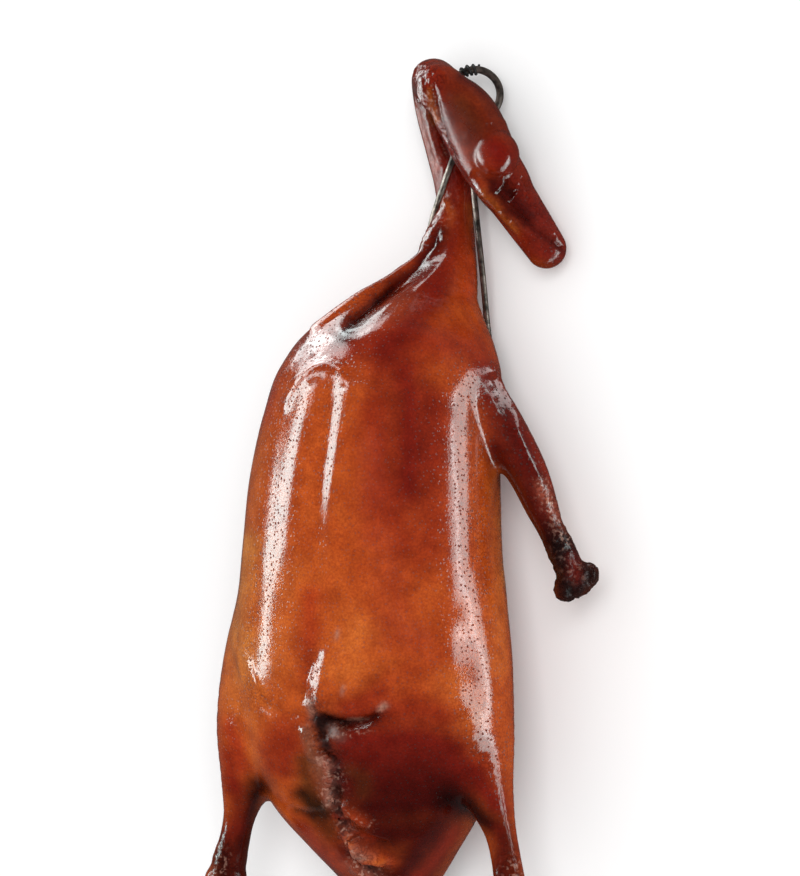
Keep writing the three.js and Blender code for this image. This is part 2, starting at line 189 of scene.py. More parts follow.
def smooth_path(stops: Array, finer: int) -> Array:
    """A smooth curve through stops, `finer` pieces to each stretch between two of them.

    Args:
        stops: Rows that begin with x, y and z; what follows is carried along.
        finer: Pieces in each stretch.

    Returns:
        The curve's points, with the columns of the stops.
    """
    stops = np.asarray(stops, float)
    steps = np.sqrt(np.linalg.norm(np.diff(stops[:, :3], axis=0), axis=1))
    at = np.concatenate([[0.0], np.cumsum(steps)])
    shares = np.arange(finer) / finer
    places = (at[:-1, None] + steps[:, None] * shares).ravel()
    return smooth_between(at, stops, np.append(places, at[-1]))


# Meshes


def mesh_object(name: str, points: Array, faces: Array) -> bpy.types.Object:
    """A smooth-shaded mesh object at the origin.

    Args:
        name: The piece's name.
        points: Vertices in millimetres.
        faces: Vertex numbers of each face, all with the same count of corners.

    Returns:
        The new object.
    """
    corners = faces.shape[1]
    mesh = bpy.data.meshes.new(name)
    mesh.vertices.add(len(points))
    mesh.vertices.foreach_set("co", (points * MM).astype(np.float32).ravel())
    mesh.loops.add(faces.size)
    mesh.loops.foreach_set("vertex_index", faces.astype(np.int32).ravel())
    mesh.polygons.add(len(faces))
    mesh.polygons.foreach_set("loop_start", np.arange(0, faces.size, corners, dtype=np.int32))
    mesh.polygons.foreach_set("use_smooth", np.ones(len(faces), bool))
    mesh.update(calc_edges=True)
    mesh.validate()
    piece = bpy.data.objects.new(name, mesh)
    bpy.context.scene.collection.objects.link(piece)
    return piece


def paint(piece: bpy.types.Object, name: str, values: Array) -> None:
    """Stores a value, or a colour with three columns, at every vertex of a piece.

    Args:
        piece: The mesh object.
        name: The attribute's name, which the finish reads.
        values: One number or one linear colour for each vertex.
    """
    if values.ndim == 1:
        made = piece.data.attributes.new(name, "FLOAT", "POINT")
        made.data.foreach_set("value", values.astype(np.float32))
        return
    made = piece.data.attributes.new(name, "FLOAT_COLOR", "POINT")
    full = np.column_stack([values, np.ones(len(values))])
    made.data.foreach_set("color", full.astype(np.float32).ravel())


def tube(path: Array, around: int, closed: bool = False) -> tuple[Array, Array]:
    """A round profile carried along a path without twist, its ends closed to a point.

    The frame at each point is turned by the least turn from the one before, and a ring of the
    point's radius is laid square to the path. The first frame is square to a direction next to
    OUT, which no path here starts along.

    Args:
        path: x, y, z and radius of each point.
        around: Corners of the profile.
        closed: True for a path that ends where it starts.

    Returns:
        Vertices and four-cornered faces.
    """
    centres = path[:, :3]
    ahead = np.roll(centres, -1, axis=0) - np.roll(centres, 1, axis=0)
    if not closed:
        ahead[0] = centres[1] - centres[0]
        ahead[-1] = centres[-1] - centres[-2]
    ahead /= np.linalg.norm(ahead, axis=1)[:, None]
    first = np.cross(ahead[0], OUT + 0.01 * ACROSS)
    sides = [first / np.linalg.norm(first)]
    for direction in ahead[1:]:
        side = sides[-1] - direction * (sides[-1] @ direction)
        sides.append(side / np.linalg.norm(side))
    side = np.array(sides)
    other = np.cross(ahead, side)
    turn = np.linspace(0.0, 2.0 * math.pi, around, endpoint=False)
    ring = side[:, None] * np.cos(turn)[:, None] + other[:, None] * np.sin(turn)[:, None]
    points = centres[:, None] + ring * path[:, 3, None, None]
    rows = len(path)
    i, j = np.meshgrid(np.arange(rows if closed else rows - 1), np.arange(around), indexing="ij")
    i_next = (i + 1) % rows
    j_next = (j + 1) % around
    faces = np.stack(
        [i * around + j, i * around + j_next, i_next * around + j_next, i_next * around + j], -1
    )
    return points.reshape(-1, 3), faces.reshape(-1, 4)


def joined(parts: list[tuple[Array, Array]]) -> tuple[Array, Array]:
    """Several sets of vertices and faces as one set."""
    points = np.vstack([p for p, _ in parts])
    starts = np.cumsum([0] + [len(p) for p, _ in parts[:-1]])
    faces = np.vstack([f + start for (_, f), start in zip(parts, starts)])
    return points, faces


# Fields: each gives, for rows of places, about the distance to a form's surface in
# millimetres, negative inside it.


@dataclass(frozen=True)
class Trunk:
    """The body: ovals across Y whose halves above and below the widest line differ.

    Each row holds y, half width, height of the widest line, lowest height, highest height and
    how far the middle stands to the duck's left.
    """

    rows: tuple[tuple[float, ...], ...] = (
        (-200, 2.5, 38, 35.5, 41, 1),
        (-193, 11, 38, 28, 48, 1),
        (-180, 20, 40, 24, 57, 1),
        (-163, 33, 45, 21, 72, 1),
        (-147, 46, 50, 17, 86, 0),
        (-129, 60, 56, 11, 98, -1),
        (-105, 73, 61, 4, 110, -2),
        (-75, 81, 65, 0, 121, -2),
        (-40, 84, 66, -1.5, 128, -1),
        (0, 81, 65, -1.5, 129, -1),
        (35, 78, 63, -1.5, 128, -1),
        (75, 75, 60, -1, 126, 0),
        (110, 71, 52, 0, 119, 1),
        (138, 66, 45, 3, 107, 3),
        (160, 50, 42, 8, 90, 4),
        (174, 29, 40, 17, 68, 5),
        (183, 4, 40, 36, 45, 6),
    )
    roundness: float = 2.1
    row_spacing: float = 0.5
    least_half: float = 2.0

    def distance(self, points: Array) -> Array:
        """The oval's gauge less one, times its smaller half, plus the way past the ends.

        Args:
            points: Places, one row each.

        Returns:
            The field at each place.
        """
        table = np.array(self.rows, float)
        dense_y = np.arange(table[0, 0], table[-1, 0] + self.row_spacing, self.row_spacing)
        dense = smooth_between(table[:, 0], table[:, 1:], dense_y)
        y = np.clip(points[:, 1], table[0, 0], table[-1, 0])
        half, wide_at, low, top, shift = (np.interp(y, dense_y, column) for column in dense.T)
        above = points[:, 2] > wide_at
        depth = np.maximum(np.where(above, top - wide_at, wide_at - low), self.least_half)
        width = np.maximum(half, self.least_half)
        across = np.abs(points[:, 0] - shift) / width
        up = np.abs(points[:, 2] - wide_at) / depth
        gauge = (across**self.roundness + up**self.roundness) ** (1.0 / self.roundness)
        return (gauge - 1.0) * np.minimum(width, depth) + np.abs(points[:, 1] - y)


@dataclass(frozen=True)
class Limb:
    """A round form along a smooth spine of x, y, z and radius."""

    stops: tuple[tuple[float, ...], ...]
    finer: int = 5
    margin: float = 26.0

    def distance(self, points: Array) -> Array:
        """The distance to the nearest stretch of the spine less the radius there.

        Args:
            points: Places, one row each.

        Returns:
            The field at each place, and a large value well away from the limb.
        """
        spine = smooth_path(np.array(self.stops), self.finer)
        widest = spine[:, 3].max() + self.margin
        low = spine[:, :3].min(axis=0) - widest
        high = spine[:, :3].max(axis=0) + widest
        near = np.all((points > low) & (points < high), axis=1)
        close = points[near]
        nearest = np.full(len(close), FAR)
        for a, b in zip(spine[:-1], spine[1:]):
            leg = b[:3] - a[:3]
            rel = close - a[:3]
            t = np.clip(rel @ leg / (leg @ leg), 0.0, 1.0)
            away = np.linalg.norm(rel - t[:, None] * leg, axis=1)
            np.minimum(nearest, away - a[3] - t * (b[3] - a[3]), out=nearest)
        result = np.full(len(points), FAR)
        result[near] = nearest
        return result


@dataclass(frozen=True)
class Lump:
    """An ellipsoid on the shown side, its first axis turned by `slope` down across it."""

    at: Place
    halves: Place
    slope: float = 0.0

    def distance(self, points: Array) -> Array:
        """The ellipsoid's gauge times the gauge less one, over the gauge's own slope.

        Args:
            points: Places, one row each.

        Returns:
            The field at each place.
        """
        first = shown(math.cos(self.slope), math.sin(self.slope), 0.0)
        second = shown(-math.sin(self.slope), math.cos(self.slope), 0.0)
        own = (points - shown(*self.at)) @ np.column_stack([first, second, OUT])
        halves = np.array(self.halves)
        gauge = np.linalg.norm(own / halves, axis=1)
        steep = np.linalg.norm(own / halves**2, axis=1)
        return gauge * (gauge - 1.0) / np.maximum(steep, 1e-9)


BILL_SLOPE = math.radians(-55.9)


@dataclass(frozen=True)
class Head:
    """The head lying on its right cheek, with its bill down and to the left of the duck.

    All places are across, y and out on the shown side.
    """

    skull: Lump = Lump((25.4, 280.4, 57.0), (30.0, 18.6, 17.0), BILL_SLOPE)
    cheek: Lump = Lump((36.8, 256.4, 57.0), (27.0, 17.0, 14.0), BILL_SLOPE)
    eyes: tuple[Lump, ...] = (
        Lump((40.6, 260.8, 66.4), (14.6, 13.4, 12.6), BILL_SLOPE),
        Lump((41.4, 260.4, 49.4), (12.4, 11.4, 12.2), BILL_SLOPE),
    )
    bill_root: Place = (47.4, 239.9, 57.0)
    bill_tip: Place = (71.4, 206.5, 58.0)
    root_radius: float = 14.5
    tip_radius: float = 11.8
    flatness: float = 0.76
    cheek_fillet: float = 9.0
    bill_fillet: float = 7.0
    eye_fillet: float = 1.2
    far_corner: Place = (-30.0, 170.0, -10.0)

    def bill(self, points: Array) -> Array:
        """The bill: a flattened tapering limb with a round tip.

        Args:
            points: Places, one row each.

        Returns:
            The field at each place.
        """
        root = shown(*self.bill_root)
        reach = shown(*self.bill_tip) - root
        length = np.linalg.norm(reach)
        ahead = shown(math.cos(BILL_SLOPE), math.sin(BILL_SLOPE), 0.0)
        crown = shown(-math.sin(BILL_SLOPE), math.cos(BILL_SLOPE), 0.0)
        rel = points - root
        t = np.clip(rel @ ahead / length, 0.0, 1.0)
        radius = self.root_radius + t * (self.tip_radius - self.root_radius)
        out = (rel @ OUT - t * (reach @ OUT)) / self.flatness
        beyond = rel @ ahead - t * length
        return (np.sqrt(out**2 + (rel @ crown) ** 2 + beyond**2) - radius) * self.flatness

    def distance(self, points: Array) -> Array:
        """Skull, cheek and bill run into each other, and the shut eyes stand on them.

        Args:
            points: Places, one row each.

        Returns:
            The field at each place.
        """
        near = np.all(points > np.array(self.far_corner), axis=1)
        close = points[near]
        made = smooth_min(self.skull.distance(close), self.cheek.distance(close), self.cheek_fillet)
        made = smooth_min(made, self.bill(close), self.bill_fillet)
        for eye in self.eyes:
            made = smooth_min(made, eye.distance(close), self.eye_fillet)
        result = np.full(len(points), FAR)
        result[near] = made
        return result


NECK_RADIUS = 12.8
SHIN_RADIUS = 9.6
WING_WAIST = 7.6

NECK = Limb(
    (
        (8, 122, 46, 42),
        (17, 160, 37, 32),
        (25.5, 186, 27, 21.6),
        (27, 212, 19, 15),
        (28.6, 229, 16, NECK_RADIUS - 2.0),
        (28, 246, 15, NECK_RADIUS - 0.8),
        (23, 267, 15, NECK_RADIUS),
        (16.5, 290, 16, NECK_RADIUS - 0.2),
        (17, 303, 22, NECK_RADIUS - 0.4),
        (24, 306, 34, NECK_RADIUS - 0.2),
        (35, 300, 46, NECK_RADIUS + 1),
    )
)
LEFT_LEG = Limb(
    (
        (50, 4, 62, 28),
        (57, -35, 67, 30),
        (67, -72, 70, 26),
        (79, -106, 71, 15.2),
        (87, -130, 70, SHIN_RADIUS - 0.4),
        (91, -147, 70, SHIN_RADIUS - 1.2),
        (93, -158, 70, SHIN_RADIUS - 0.8),
        (95, -168, 70, SHIN_RADIUS - 1.0),
    )
)
RIGHT_LEG = Limb(
    (
        (-53, 4, 62, 29),
        (-63, -35, 67, 31),
        (-71, -72, 71, 27.5),
        (-81, -106, 72, 16),
        (-88, -130, 70, SHIN_RADIUS),
        (-92, -147, 70, SHIN_RADIUS - 0.4),
        (-95, -158, 70, SHIN_RADIUS + 0.6),
        (-97, -168, 70, SHIN_RADIUS),
    )
)
SPREAD_WING = Limb(
    (
        (48, 128, 50, 20),
        (70, 107, 48, 15.8),
        (90, 77, 44, 12.0),
        (99, 56, 42, 9.6),
        (105, 42, 41, WING_WAIST),
        (112, 28, 39, WING_WAIST + 0.4),
        (117, 17, 38, WING_WAIST + 0.6),
    )
)
FOLDED_WING = Limb(
    (
        (-48, 126, 50, 21),
        (-72, 103, 37, 17),
        (-86, 73, 25, 12),
        (-91, 52, 18, 9.6),
        (-93, 37, 15, WING_WAIST),
        (-93, 22, 14, WING_WAIST + 0.4),
        (-92.5, 10, 14.5, WING_WAIST + 0.6),
    )
)

SHOULDER_RIDGE = Limb(
    (
        (*shown(9.0, 221.0, 36.0), 3.0),
        (*shown(3.2, 207.0, 37.5), 2.8),
        (*shown(-6.0, 198.3, 39.5), 3.4),
        (*shown(-16.8, 189.2, 42.5), 3.9),
        (*shown(-27.0, 181.7, 46.0), 5.0),
        (*shown(-37.0, 174.5, 50.0), 6.2),
        (*shown(-47.0, 166.5, 55.0), 7.2),
        (*shown(-60.0, 155.0, 58.0), 9.0),
    )
)


@dataclass(frozen=True)
class Fold:
    """A crease or a ridge along a line of (across, y) places on the shown side.

    A positive depth cuts in and a negative one stands out. The power of the distance over the
    width is 2 for a soft form and 1 for a sharp one.
    """

    line: Line
    depth: float
    width: float
    power: float = 2.0
    start: float = 0.15
    end: float = 0.15

    def cut(self, across: Array, y: Array) -> Array:
        """How much the fold takes off, faded in and out at the line's ends.

        Args:
            across: Places across the shown side.
            y: Places along the duck.

        Returns:
            Depth at each place.
        """
        away, _, share = reach_along(np.array(self.line), across, y)
        fade = rise(0.0, self.start, share) * (1.0 - rise(1.0 - self.end, 1.0, share))
        return self.depth * fade * np.exp(-((away / self.width) ** self.power))


@dataclass(frozen=True)
class Pucker:
    """Crinkled skin within `reach` of a line on the shown side."""

    line: Line
    reach: float
    height: float
    size: float | Place
    seed: int
    fades_over: float = 2.2

    def stand(self, points: Array, across: Array, y: Array) -> Array:
        """How far the crinkles stand out: noise whose folds are made sharp.

        Args:
            points: Places in the frame.
            across: The same places across the shown side.
            y: The same places along the duck.

        Returns:
            Height at each place.
        """
        away, _, _ = reach_along(np.array(self.line), across, y)
        close = away < self.fades_over * self.reach
        result = np.zeros(len(points))
        noise = crumple(points[close], self.size, self.seed)
        ridges = 1.0 - 2.0 * np.abs(noise)
        result[close] = self.height * ridges * np.exp(-((away[close] / self.reach) ** 2))
        return result


SHOULDER_VALLEY = Fold(
    (
        (10, 216),
        (6, 206.5),
        (-3.6, 195.6),
        (-14, 186),
        (-23.6, 177.2),
        (-33, 168.6),
        (-42.5, 159.5),
        (-48, 154),
    ),
    10.5,
    5.0,
    start=0.1,
    end=0.16,
)
SEAM_LINE: Line = (
    (-63.2, -58),
    (-62.6, -67),
    (-60, -75.5),
    (-56.6, -83),
    (-53.6, -90),
    (-51.6, -97),
    (-52, -105),
    (-51.6, -113),
    (-49.4, -121),
    (-46.6, -129),
    (-43.6, -137),
    (-40, -145),
    (-34, -153),
    (-27, -162),
    (-20, -171),
)
SEAM_VALLEY = Fold(SEAM_LINE, 5.4, 5.6, 2.0, 0.08, 0.15)


@dataclass(frozen=True)
class Lattice:
    """Box-shaped cells whose rows narrow towards the head, so that small forms get small cells.

    Each bound holds y, the left end, the right end and the top there.
    """

    body_step: float = 2.1
    head_step: float = 1.1
    columns: int = 122
    layers: int = 76
    head_from: float = 178.0
    head_full: float = 200.0
    tail: float = -208.0
    crown: float = 326.0
    floor: float = -6.0
    bounds: tuple[tuple[float, ...], ...] = (
        (-210, -114, 114, 90),
        (-105, -114, 114, 134),
        (-60, -110, 134, 136),
        (150, -110, 134, 128),
        (196, -12, 114, 84),
        (330, -12, 114, 84),
    )

    def nodes(self) -> Array:
        """The lattice's nodes, in three directions and three columns."""
        rows = [self.tail]
        while rows[-1] < self.crown:
            share = float(rise(self.head_from, self.head_full, np.array(rows[-1])))
            rows.append(rows[-1] + self.body_step + share * (self.head_step - self.body_step))
        y = np.array(rows)
        table = np.array(self.bounds, float)
        left, right, top = (np.interp(y, table[:, 0], column) for column in table[:, 1:].T)
        across = np.linspace(0.0, 1.0, self.columns + 1)
        up = np.linspace(0.0, 1.0, self.layers + 1)
        grid = np.empty((len(across), len(y), len(up), 3))
        grid[..., 0] = (left + across[:, None] * (right - left))[:, :, None]
        grid[..., 1] = y[None, :, None]
        grid[..., 2] = (self.floor + (top - self.floor)[:, None] * up)[None]
        return grid


def field_on(grid: Array, flesh: Field, stride: int = 4, near_value: float = 13.0) -> Array:
    """The field at every node, worked out only near the surface.

    Some nodes come first. Nodes near one with a small value are then worked out, and the
    others keep the coarse value, of which only the sign matters.

    Args:
        grid: The lattice's nodes.
        flesh: The field as a function of rows of places.
        stride: One in this many nodes comes first, each way.
        near_value: Below this the surface may be near, in millimetres.

    Returns:
        The field's values in the lattice's order.
    """
    size = grid.shape[:3]
    sparse = grid[::stride, ::stride, ::stride]
    coarse = flesh(sparse.reshape(-1, 3)).reshape(sparse.shape[:3])
    near = np.abs(coarse) < near_value
    for axis in range(3):
        near = near | np.roll(near, 1, axis) | np.roll(near, -1, axis)

    def spread(values: Array) -> Array:
        """Each coarse value repeated over the fine nodes that follow it."""
        for axis in range(3):
            values = np.repeat(values, stride, axis)
        return values[: size[0], : size[1], : size[2]]

    values = spread(coarse).copy()
    fine = spread(near)
    values[fine] = flesh(grid[fine])
    return values


def zero_surface(grid: Array, values: Array) -> tuple[Array, Array]:
    """A vertex in each cell that the surface crosses and a face across each crossed edge.

    A vertex is the mean of the places where the field is zero on its cell's edges, each found
    by the values at the edge's ends.

    Args:
        grid: The lattice's nodes.
        values: The field at the nodes.

    Returns:
        Vertices and four-cornered faces that point outwards.
    """
    inside = values < 0.0
    cells = tuple(n - 1 for n in inside.shape)
    corners = [(c & 1, c >> 1 & 1, c >> 2 & 1) for c in range(8)]
    count = np.zeros(cells, np.int8)
    for i, j, k in corners:
        count += inside[i : i + cells[0], j : j + cells[1], k : k + cells[2]]
    active = np.argwhere((count > 0) & (count < 8))
    total = np.zeros((len(active), 3))
    crossings = np.zeros(len(active))
    for c, corner in enumerate(corners):
        for axis in range(3):
            if c >> axis & 1:
                continue
            a = active + corner
            b = a.copy()
            b[:, axis] += 1
            a, b = tuple(a.T), tuple(b.T)
            crossed = inside[a] != inside[b]
            share = np.divide(values[a], values[a] - values[b], where=crossed, out=np.zeros(len(active)))
            at = grid[a] + share[:, None] * (grid[b] - grid[a])
            total += at * crossed[:, None]
            crossings += crossed
    vertex_of = np.full(cells, -1)
    vertex_of[tuple(active.T)] = np.arange(len(active))
    faces = []
    for axis in range(3):
        u, v = (axis + 1) % 3, (axis + 2) % 3
        ahead = np.roll(inside, -1, axis)
        crossed = np.argwhere(inside != ahead)
        kept = (crossed[:, u] > 0) & (crossed[:, v] > 0) & (crossed[:, axis] < cells[axis])
        crossed = crossed[kept]
        quad = []
        for du, dv in ((1, 1), (0, 1), (0, 0), (1, 0)):
            cell = crossed.copy()
            cell[:, u] -= du
            cell[:, v] -= dv
            quad.append(vertex_of[tuple(cell.T)])
        quad = np.stack(quad, axis=1)
        outward = inside[tuple(crossed.T)]
        faces.append(np.where(outward[:, None], quad, quad[:, ::-1]))
    return total / crossings[:, None], np.vstack(faces)


def slope_of(flesh: Field, points: Array, step: float = 0.35) -> Array:
    """The field's slope at each place, from its values a little to both sides."""
    return np.stack(
        [(flesh(points + s) - flesh(points - s)) / (2 * step) for s in np.eye(3) * step], axis=1
    )


def settled(flesh: Field, points: Array) -> Array:
    """Places moved along the field's slope, by its value over the squared slope, onto its zero.

    Args:
        flesh: The field as a function of rows of places.
        points: Places near the surface.

    Returns:
        The places after three moves.
    """
    longest = 1.5
    least_steep = 0.15
    for _ in range(3):
        slope = slope_of(flesh, points)
        steep = np.maximum((slope * slope).sum(axis=1), least_steep)
        step = -flesh(points) / steep
        points = points + np.clip(step, -longest, longest)[:, None] * slope
    return points


# Colours: named tones of the roast, as 0 to 255 in each channel


class Tone(Enum):
    """The colours that the roast skin, flesh and bones take, and those of painted shade and painted glints.
    """

    HONEY = (226, 146, 66)
    AMBER = (210, 110, 44)
    ORANGE = (192, 86, 31)
    BURNT = (168, 62, 24)
    RED_ORANGE = (182, 62, 26)
    RED = (146, 42, 18)
    DARK_RED = (118, 24, 14)
    DEEP_RED = (92, 16, 9)
    MAROON = (66, 7, 5)
    BLACK_RED = (34, 4, 3)
    OLIVE = (96, 50, 20)
    DARK_OLIVE = (48, 24, 8)
    SKULL_BROWN = (108, 34, 14)
    SKULL_OLIVE = (84, 44, 14)
    EYE_RED = (118, 20, 10)
    WING_RED = (104, 28, 20)
    BILL_RED = (122, 32, 20)
    JAW_AMBER = (172, 92, 30)
    FLESH_PINK = (160, 84, 64)
    # Painted highlight: the colour of pale glints laid on the seam
    PAINTED_GLINT = (176, 134, 116)
    GREY_SKIN = (120, 78, 60)
    # Char on the stubs and leg ends, and painted shade along a crease
    SOOT_AND_CREASE_SHADE = (26, 9, 7)

    @property
    def linear(self) -> Array:
        """The tone as linear red, green and blue."""
        shares = np.array(self.value) / 255.0
        return np.where(shares < 0.04045, shares / 12.92, ((shares + 0.055) / 1.055) ** 2.4)


@dataclass(frozen=True)
class Stroke:
    """A soft stroke along a line of (across, y) places on the shown side, fading over `reach`."""

    line: Line
    reach: float
    share: float = 1.0

    def weight(self, across: Array, y: Array) -> Array:
        """How strong the stroke is at each place: a bell over the distance to its line."""
        away, _, _ = reach_along(np.array(self.line), across, y)
        return self.share * np.exp(-((away / self.reach) ** 2))


@dataclass(frozen=True)
class ToneStroke:
    """A tone laid on with a stroke."""

    tone: Tone
    line: Line
    reach: float
    share: float = 1.0

    def weight(self, across: Array, y: Array) -> Array:
        """How much of the tone each place takes."""
        return Stroke(self.line, self.reach, self.share).weight(across, y)


def strongest(strokes: tuple[Stroke, ...], across: Array, y: Array) -> Array:
    """The strength of the strongest of several strokes at each place."""
    return np.max([stroke.weight(across, y) for stroke in strokes], axis=0)


# The duck

KEEL_LINE: Line = ((-53.6, 133), (-55.6, 112), (-58.6, 90), (-62, 64), (-63.2, 47), (-62.6, 0), (-62, -46))
UPPER_RIDGE: Line = ((8, 225), (-1, 212), (-15, 200), (-28, 190), (-44, 175.5), (-61, 159), (-74, 145))
LOWER_RIDGE: Line = ((14, 218), (6, 205), (-3, 194), (-14, 182), (-26, 171), (-38, 161), (-48, 153))
BREAST_ARCH: Line = ((-84, 106), (-80, 119), (-74, 128.5), (-65, 135.5), (-56, 138), (-49, 134), (-47, 125))
MOUTH_LINE: Line = ((38.6, 240), (48, 230.5), (59.7, 221), (71.4, 212), (80, 205.5))

FOLDS = (
    Fold(UPPER_RIDGE, -1.2, 5.0),
    Fold(LOWER_RIDGE, -2.2, 3.2),
    Fold(BREAST_ARCH, -1.3, 2.6),
    Fold(((-50, -20), (-54, -30), (-56.4, -40), (-58, -52), (-61, -63)), -3.8, 6.6, 2.0, 0.25, 0.12),
    Fold(((-66, -32), (-70, -44), (-71, -58)), 1.2, 2.4),
    Fold(((-49, -38), (-51, -50), (-53, -61)), 1.6, 2.2, 1.4),
    Fold(((-62, -66.5), (-53.2, -68.4), (-44.5, -68.4), (-35, -66.6), (-25.5, -61.4)), 5.0, 2.8, 1.4, 0.05),
    Fold(((-54, -76), (-45, -74.6), (-36, -72.4), (-28, -67)), -2.6, 3.2),
    Fold(((-35, -63), (-29, -61), (-24, -57)), -1.6, 2.4),
    Fold(((-44.5, -58.5), (-39.8, -51), (-32.8, -42.7), (-24, -35), (-14, -30)), 2.2, 4.6),
    Fold(((-50, -56), (-46, -48), (-39, -39), (-30, -31), (-20, -25)), -1.2, 4.0),
    Fold(((-62, -65.5), (-70.8, -63.4), (-79.6, -65), (-90, -61.4), (-98, -56)), 1.6, 2.6, 1.4, 0.02),
    Fold(((-66.7, -58.5), (-75, -48), (-83, -37.4)), 1.4, 4.0),
    Fold(((-70, -70), (-67.6, -79), (-65.2, -86.6), (-63.2, -92)), -3.2, 3.4),
    Fold(((-55, -74), (-48.5, -77), (-44, -84)), -2.0, 3.6),
    Fold(((-60.6, -87.4), (-59.4, -91)), -2.6, 2.6, 2.0, 0.3, 0.3),
    Fold(((-58, -93), (-55.8, -99.6)), -2.4, 2.4, 2.0, 0.3, 0.3),
    Fold(((-63, -90), (-54, -92.4)), -3.0, 2.4, 2.0, 0.3, 0.3),
    Fold(((-60, -101), (-51, -103)), -2.6, 2.6, 2.0, 0.3, 0.3),
    Fold(((-59, -112), (-49, -113)), -3.0, 2.6, 2.0, 0.3, 0.3),
    Fold(((-54, -123), (-45, -125)), -2.6, 2.4, 2.0, 0.3, 0.3),
    Fold(((-50, -133), (-41, -136)), -2.6, 2.4, 2.0, 0.3, 0.3),
    Fold(((-46.8, -92), (-41, -96), (-35.6, -103)), -1.8, 4.6),
    Fold(((-57.6, -107.4), (-55.2, -116.6)), -3.4, 3.0, 2.0, 0.3, 0.3),
    Fold(((-48.6, -115.2), (-43.3, -120.5), (-37.4, -125.2), (-31.8, -127.6)), -3.0, 2.8),
    Fold(((-48.6, -124), (-43.3, -131), (-35.7, -136.3), (-26.9, -139.6), (-19, -142)), 3.0, 2.2, 1.4),
    Fold(((-48.4, -130), (-44.2, -138), (-38, -144.6), (-30.4, -148.6), (-20, -150)), -4.2, 3.8),
    Fold(((-47.4, -138), (-44.5, -145), (-39.8, -151), (-31.6, -154.6), (-20, -157)), 2.8, 2.0, 1.4),
    Fold(((-43.6, -152.6), (-37.4, -157), (-29.8, -161)), -3.0, 3.6),
    Fold(((-82, -121), (-70, -124.4), (-57, -122.6)), 2.4, 3.0, 1.4),
    Fold(((-84, -116), (-72, -118.4), (-62, -116)), -1.0, 4.0),
    Fold(((-113.5, -21.1), (-110.0, -32.2), (-105.3, -49.1)), -0.8, 1.7),
    Fold(((-108.0, -24.6), (-101.8, -39.8), (-95.4, -53.8)), -0.8, 1.7),
    Fold(((42, 135), (45, 118), (49, 101)), 2.6, 6.0, 2.0, 0.15, 0.3),
    Fold(((49.7, 104), (57.5, 85), (66.5, 66)), -1.0, 2.6),
    Fold(((9, -2), (8.5, -19), (8.5, -41), (13, -59), (23, -77), (31, -92)), -3.2, 12.0, 2.0, 0.2, 0.2),
    Fold(((9.5, -34), (10, -46), (14.5, -61), (22, -76), (29, -86)), -2.4, 11.0, 2.0, 0.4, 0.4),
    Fold(((4.5, 302), (7, 285), (11, 268), (17, 254)), 2.6, 2.2, 1.4),
    Fold(((-3, 300), (1.2, 286), (5.5, 270), (10, 256)), -1.4, 2.2),
    Fold(((-7, 296), (-3, 282), (1.5, 266), (6, 252)), 1.6, 1.6, 1.4),
    Fold(((22, 268), (27, 274.6), (35, 279.4), (45, 280), (54, 275)), -0.9, 2.2),
    Fold(((26, 250), (33, 244.6), (42, 243), (50, 246)), 1.6, 2.2, 1.4),
    Fold(MOUTH_LINE, 2.4, 1.3, 1.4, 0.1, 0.02),
    Fold(((28, 246), (34, 238), (42, 230.4), (53, 220), (66, 208)), -1.4, 2.6),
    Fold(((26, 238), (34, 229), (44, 220), (56, 208)), 0.8, 2.0),
    Fold(((45, 242.5), (52, 237)), 4.4, 4.6, 2.0, 0.01, 0.01),
    Fold(((56, 242), (63, 231), (71, 219), (78, 208)), -1.2, 3.0),
    Fold(((55, 247), (59, 241)), 1.3, 1.0, 1.4, 0.05, 0.05),
)

WING_TEAR: Line = ((66, 68), (73, 54), (80, 38))
WING_STUB: Line = ((76, 32), (78, 16), (82, 6), (93, 15))
SKULL_LINE: Line = ((10, 284), (18, 272), (26, 262))
CRINKLED = (
    Stroke(SEAM_LINE, 7.5),
    Stroke(((-48, -130), (-38, -144.6), (-22, -150)), 5.0, 0.9),
    Stroke(((-66, -58), (-64, -64)), 4.0, 0.9),
    Stroke(((-52, -69), (-36, -68), (-26, -62)), 4.0, 0.7),
    Stroke(((-9, 309), (4, 306)), 9.0),
    Stroke(((2, 300), (8, 280), (13, 262), (18, 250)), 5.0, 0.8),
    Stroke(((-6, 300), (2, 276), (9, 254), (12, 236)), 6.0, 0.5),
    Stroke(((16, 250), (28, 240), (40, 231)), 5.0, 0.6),
    Stroke(((12, 240), (8, 226), (4, 214)), 8.0, 0.6),
    Stroke(((46, 246), (58, 238), (68, 224)), 5.0, 0.7),
    Stroke(((50, 232), (62, 218), (76, 204)), 9.0, 0.5),
    Stroke(((30, 240), (42, 228), (58, 212)), 5.0, 0.6),
    Stroke(WING_TEAR, 6.0),
    Stroke(WING_STUB, 13.0, 0.9),
    Stroke(((-92, 117), (-82, 133), (-66, 140), (-48, 136)), 5.0, 0.35),
    Stroke(((-121, -148), (-120, -178)), 9.0, 0.8),
    Stroke(((48, -146), (50, -178)), 8.0, 0.8),
)
